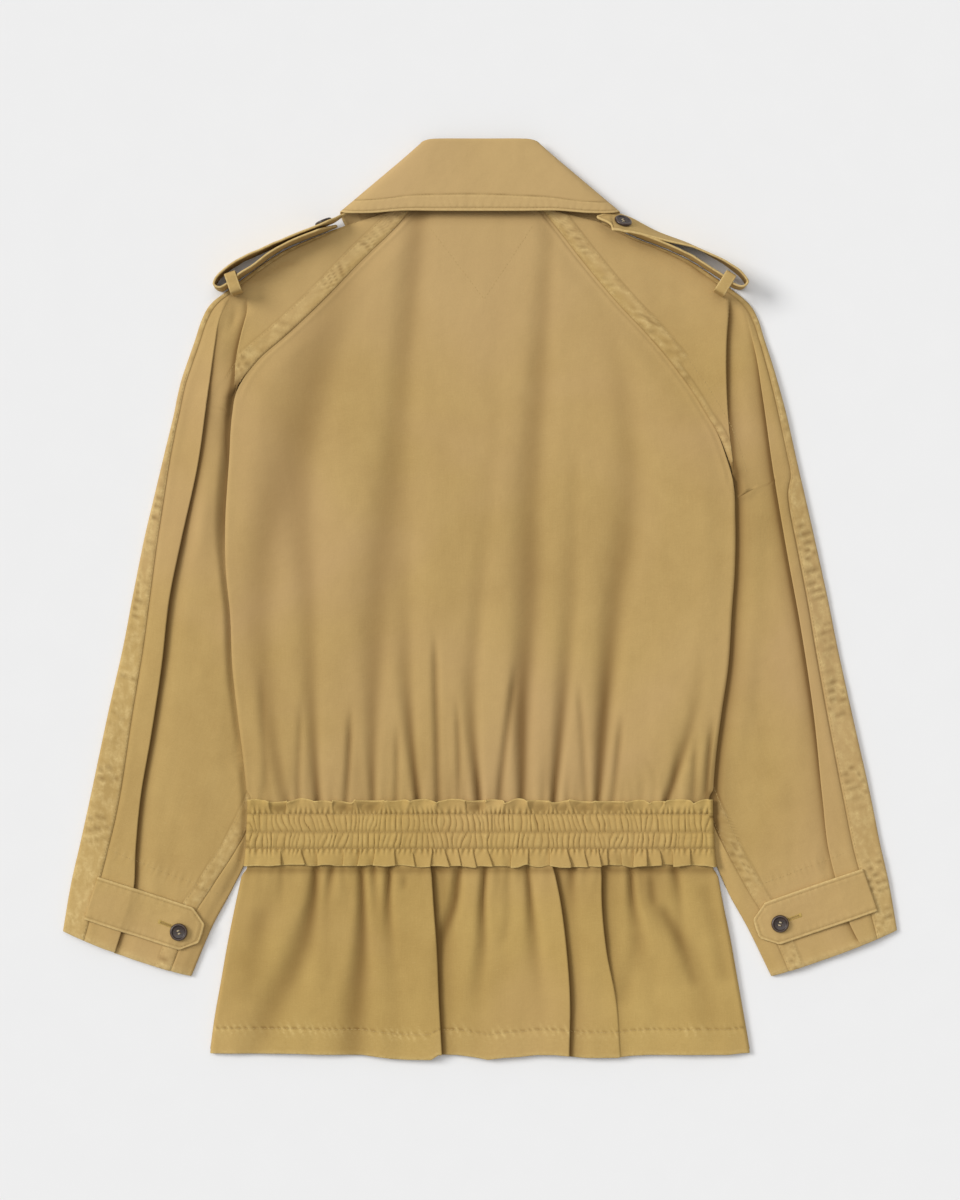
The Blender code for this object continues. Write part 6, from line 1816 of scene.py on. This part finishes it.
def make_button(name, place, normal=(0, 0, 1), turn=0.0):
    """A turned four-hole button: rounded rim, stepped dish, holes cut through, sewn with two bars of thread."""
    r, h = BUTTON_ACROSS / 2, BUTTON_THICK
    key = [(0.0, 0.02), (0.70 * r, 0.02), (0.82 * r, 0.10), (0.93 * r, 0.45), (0.985 * r, 0.95), (r, 1.45), (0.99 * r, 1.95),
           (0.955 * r, 2.45), (0.90 * r, 2.82), (0.84 * r, h), (0.79 * r, 2.96), (0.745 * r, 2.74), (0.715 * r, 2.40),
           (0.69 * r, 2.16), (0.65 * r, 2.08), (0.50 * r, 2.02), (0.42 * r, 1.96), (0.34 * r, 1.90), (0.0, 1.86)]
    sides = 72
    verts, faces, wear_and_painted_shade = [(0, 0, key[0][1])], [], [(0, 0, 0, 1)]
    for rr, zz in key[1:-1]:
        for k in range(sides):
            a = 2 * math.pi * k / sides
            verts.append((rr * math.cos(a), rr * math.sin(a), zz))
            wear_and_painted_shade.append((0.9 if 0.80 * r < rr < 0.93 * r and zz > 2.5 else 0.0, 0, 0, 1))
    verts.append((0, 0, key[-1][1]))
    wear_and_painted_shade.append((0, 0, 0, 1))
    rings = len(key) - 2
    for k in range(sides):
        n = (k + 1) % sides
        faces.append((0, 1 + n, 1 + k))
        for j in range(rings - 1):
            a, b = 1 + j * sides, 1 + (j + 1) * sides
            faces.append((a + k, a + n, b + n, b + k))
        last = 1 + (rings - 1) * sides
        faces.append((last + k, last + n, len(verts) - 1))
    obj = link(name, verts, faces, HORN, np.array(wear_and_painted_shade))
    cutters, offs = [], [(sx * 1.25, sy * 1.30) for sx in (-1, 1) for sy in (-1, 1)]
    cut_verts, cut_faces = [], []
    for cx, cy in offs:
        base = len(cut_verts)
        for zz in (-1.0, 4.0):
            for k in range(16):
                a = 2 * math.pi * k / 16
                cut_verts.append((cx + 0.72 * math.cos(a), cy + 0.72 * math.sin(a), zz))
        cut_faces += [tuple(base + k for k in range(16))[::-1], tuple(base + 16 + k for k in range(16))]
        cut_faces += [(base + k, base + (k + 1) % 16, base + 16 + (k + 1) % 16, base + 16 + k) for k in range(16)]
    cutter = link(name + "_cutter", cut_verts, cut_faces, HORN)
    cut = obj.modifiers.new("holes", "BOOLEAN")
    cut.operation, cut.object, cut.solver = "DIFFERENCE", cutter, "EXACT"
    bpy.context.view_layer.update()
    made = bpy.data.meshes.new_from_object(obj.evaluated_get(bpy.context.evaluated_depsgraph_get()))
    obj.modifiers.clear()
    obj.data = made
    bpy.data.objects.remove(cutter, do_unlink=True)
    matrix = frame_at(place, normal, turn)
    obj.data.transform(matrix)
    obj.data.shade_smooth()
    obj.data.set_sharp_from_angle(angle=math.radians(38))
    A, B = [], []
    for sy in (-1, 1):
        for k in (-1, 0, 1):
            A.append((-1.35, sy * 1.30 + 0.30 * k, 2.0 + 0.10 * (k == 0)))
            B.append((1.35, sy * 1.30 + 0.30 * k + 0.06, 2.0 + 0.10 * (k == 0)))
    V, F = capsules(A, B, 0.25, 0.42, 0.75, 7)
    thread = link(name + "_thread", V, F, PALE_THREAD)
    thread.data.transform(matrix)
    return obj, thread


def buttonhole(name, side, height):
    a, b = (np.array(p) for p in BUTTONHOLE[side])
    way = (b - a) / np.linalg.norm(b - a)
    cross = np.array([-way[1], way[0]])
    A, B = [], []
    length = float(np.linalg.norm(b - a))
    rng = np.random.default_rng(5)
    for s in np.arange(0.6, length, 0.46):
        for sign in (-1, 1):
            p, q = a + way * s + cross * sign * 0.38, a + way * (s + 0.1) + cross * sign * (1.55 + rng.uniform(-0.12, 0.12))
            A.append((*p, height(*(p + cross * sign * 0.5)) + 0.08))
            B.append((*q, height(*q) + 0.02))
    for k in range(7):                                        # the bar at its end
        p, q = a + way * (-0.9 + 0.26 * k) + cross * 1.9, a + way * (-0.9 + 0.26 * k) - cross * 1.9
        A.append((*p, height(*p) + 0.02))
        B.append((*q, height(*q) + 0.02))
    V, F = capsules(A, B, 0.21, 0.16, 0.06, 5)
    return link(name, V, F, GOLD_THREAD)


# =============================================================== the whole coat
back = make_back()
peplum = make_peplum()
casing = make_casing()
sleeve = {side: make_sleeve(side) for side in ("left", "right")}
front = make_fronts()
fall, stand = make_collar()
strap = make_straps()


sleeve_top = {side: tree_of(*sleeve[side]) for side in ("left", "right")}
tab = make_tabs(sleeve_top)
tab_top = {side: tree_of(tab["cuff_tab_" + side]) for side in ("left", "right")}
back_top, peplum_top, casing_top, collar_top = tree_of(back), tree_of(peplum), tree_of(casing), tree_of(fall)

# ---- buttons: two on the cuff tabs, two on the shoulder straps
buttons, threads = {}, []
for _side in ("left", "right"):
    _bx, _by = BUTTONS[_side]
    _x = SIGN[_side] * _bx
    _level = max(tab_top[_side](_x + dx, _by + dy) for dx, dy in ((0, 0), (5, 0), (-5, 0), (0, 5), (0, -5))) - 0.05
    buttons["cuff_button_" + _side], _t = make_button(
        "cuff_button_" + _side + "_fine", (_x, _by, _level), (0, 0, 1), 0.36 + math.pi / 2 * 0 if _side == "left" else -0.30)
    threads.append((_t, buttons["cuff_button_" + _side]))
    (_fx, _fy, _lean, _low, _high), _last = strap_frame(_side)
    _k, _f = STRAP_BUTTON[_side]
    _at = _k + _f
    _h = 0.02
    _ax, _ay = _fx(_at + _h) - _fx(_at - _h), _fy(_at + _h) - _fy(_at - _h)
    _n = math.hypot(_ax, _ay)
    _tx, _ty = -_ay / _n, _ax / _n
    _le, _lo, _hi = float(_lean(_at)), float(_low(_at)), float(_high(_at))
    _tilt = math.atan2(_le, _hi - _lo)
    _normal = np.array([-_tx * math.cos(_tilt), -_ty * math.cos(_tilt), math.sin(_tilt)])
    _centre = np.array([float(_fx(_at)) + _tx * _le * 0.5, float(_fy(_at)) + _ty * _le * 0.5, (_lo + _hi) / 2]) + _normal * 1.0
    _s = SIGN[_side]
    buttons["epaulette_button_" + _side], _t = make_button(
        "strap_button_" + _side + "_fine", (_s * _centre[0], _centre[1], _centre[2]), (_s * _normal[0], _normal[1], _normal[2]), 0.4)
    threads.append((_t, buttons["epaulette_button_" + _side]))

# ---- stitching
holes = {side: buttonhole("buttonhole_" + side, side, tab_top[side]) for side in ("left", "right")}
_rows = []
for _y in (ROW_TOP, ROW_MIDDLE, ROW_LOW):
    _rows.append(stitch_row([(-198, _y), (0, _y), (198, _y)], casing_top, 2.5, 0.76, 3, 0.02))
waist_stitches = stitches("waist_stitches", _rows)
_hem = [(x, float(hem(x)) + 21.2) for x in np.linspace(-226, 226, 90)]
hem_stitches = stitches("hem_stitches", [stitch_row(_hem, peplum_top, 3.2, 0.72, 4, 0.0, 0.14)])
_rows = []
for _off in (2.6, None):
    _edge = []
    for row in [(-r[0], r[1], r[2], -r[3], r[4], r[5]) for r in COLLAR[5:0:-1]] + list(COLLAR[:6]):
        _a, _b = np.array(row[:2], float), np.array(row[3:5], float)
        _p = _b + (_a - _b) / np.linalg.norm(_a - _b) * (_off or float(collar_band(_b[0])))
        _edge.append(tuple(_p))
    _rows.append(stitch_row(_edge, collar_top, 2.9, 0.76, 5, 0.0, 0.06))
collar_stitches = stitches("collar_stitches", _rows)
NECK_V = spots((425, 222), (456, 262), (484, 299), (510, 260), (535, 222))
_v = [stitch_row(NECK_V[:3], back_top, 3.4, 0.7, 6, -0.04), stitch_row(NECK_V[2:], back_top, 3.4, 0.7, 7, -0.04)]
neck_stitches = stitches("neck_patch_stitches", _v, radius=0.22)
sleeve_stitches = {}
for _side in ("left", "right"):
    _sign = SIGN[_side]
    _seam = np.array(BACK_SEAM[_side])
    _turn = -1 if _side == "left" else 1
    _rows = []
    for _off in (1.5, 13.3):
        _rows.append(stitch_row(offset_line(_seam, _turn * _off), sleeve_top[_side], 3.1, 0.74, 8, 0.0, 0.12))
    _over = np.array(EDGE_LINES[_side]["over"])
    _rows.append(stitch_row(_over[:: 2][: int(len(_over) * 0.36)], sleeve_top[_side], 3.1, 0.74, 9, 0.0, 0.10))
    for _key in ("under", "under_far"):
        _line = np.array(EDGE_LINES[_side][_key])
        if len(_line) > 6:
            _rows.append(stitch_row(_line[::2], sleeve_top[_side], 3.1, 0.74, 10, 0.0, 0.12))
    _rows.append(stitch_row(CUFF_STITCH[_side], sleeve_top[_side], 3.2, 0.70, 12, 0.0, 0.15))
    sleeve_stitches[_side] = stitches("sleeve_stitches_" + _side, _rows)
tab_stitches = {}
for _side in ("left", "right"):
    _sign = SIGN[_side]
    (_x0, _y0), (_x1, _y1) = TABS[_side]
    _start, _stop = np.array([_x0, _y0]), np.array([_x1, _y1])
    _length = float(np.linalg.norm(_stop - _start))
    _axis = (_stop - _start) / _length
    _across = np.array([-_axis[1], _axis[0]])

    def _on_tab(s, u):
        p = _start + _axis * s * _length / 97.0 + _across * u
        return (_sign * p[0], p[1])

    _in = 2.3
    _corners = [(0.5, 18.6 - _in), (84.5, 18.6 - _in), (96.4, 7.4), (96.4, -7.4), (84.5, -18.6 + _in), (0.5, -18.6 + _in)]
    _rows = []
    for (_s0, _u0), (_s1, _u1) in zip(_corners[:-1], _corners[1:]):
        _rows.append(stitch_row([_on_tab(_s0, _u0), _on_tab(_s1, _u1)], tab_top[_side], 2.9, 0.74, 14, 0.0, 0.08))
    tab_stitches[_side] = stitches("tab_stitches_" + _side, _rows)

# ------------------------------------------------- camera, floor and light
camera = bpy.data.objects.new("camera", bpy.data.cameras.new("camera"))
camera.data.lens = 100
camera.data.sensor_width = 36
camera.data.sensor_fit = "AUTO"
camera.data.clip_end = 50
camera.location = (0.0, -0.00085, 2.8433)
camera.rotation_euler = (0, 0, 0)
bpy.context.scene.collection.objects.link(camera)
bpy.context.scene.camera = camera

_s = 6.0
floor = link("floor", [(-_s * 1000, -_s * 1000, -0.02), (_s * 1000, -_s * 1000, -0.02), (_s * 1000, _s * 1000, -0.02), (-_s * 1000, _s * 1000, -0.02)],
             [(0, 1, 2, 3)], floor_material())

world = bpy.data.worlds.new("studio")
world.use_nodes = True
world.node_tree.nodes["Background"].inputs["Color"].default_value = (1.0, 1.0, 1.0, 1)
world.node_tree.nodes["Background"].inputs["Strength"].default_value = 0.37
bpy.context.scene.world = world


def lamp(name, azimuth, elevation, strength, soft, colour=(1, 1, 1)):
    """A soft far light; azimuth 0 shines from +X and 90 from +Y."""
    data = bpy.data.lights.new(name, "SUN")
    data.energy = strength
    data.angle = math.radians(soft)
    data.color = colour
    obj = bpy.data.objects.new(name, data)
    a, e = math.radians(azimuth), math.radians(elevation)
    way = mathutils.Vector((math.cos(a) * math.cos(e), math.sin(a) * math.cos(e), math.sin(e)))
    obj.rotation_euler = way.to_track_quat("Z", "Y").to_euler()
    bpy.context.scene.collection.objects.link(obj)
    return obj


lamp("key", 158, 38, 1.99, 24)
lamp("top", 100, 74, 0.92, 50)
bpy.context.scene.view_settings.view_transform = "Standard"

# --------------------------------------------------------- riding and naming
CLOTH_PIECES = {
    "back_panel": back, "peplum_back": peplum, "waist_casing_back": casing, "collar_fall": fall, "collar_stand": stand,
    "sleeve_front_left": sleeve["left"][0], "sleeve_back_left": sleeve["left"][1],
    "sleeve_front_right": sleeve["right"][0], "sleeve_back_right": sleeve["right"][1],
    **front, **strap, **tab,
}
STITCH_ON = {
    "waist_casing_back": [waist_stitches], "peplum_back": [hem_stitches], "collar_fall": [collar_stitches], "back_panel": [neck_stitches],
    "sleeve_back_left": [sleeve_stitches["left"]], "sleeve_back_right": [sleeve_stitches["right"]],
    "cuff_tab_left": [tab_stitches["left"], holes["left"]], "cuff_tab_right": [tab_stitches["right"], holes["right"]],
}
for node, piece in CLOTH_PIECES.items():
    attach(piece, "root")
    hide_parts(node)
    for extra in STITCH_ON.get(node, []):
        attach(extra, "root")
for node, piece in buttons.items():
    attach(piece, "root")
    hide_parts(node)
for piece, _ in threads:
    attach(piece, "root")
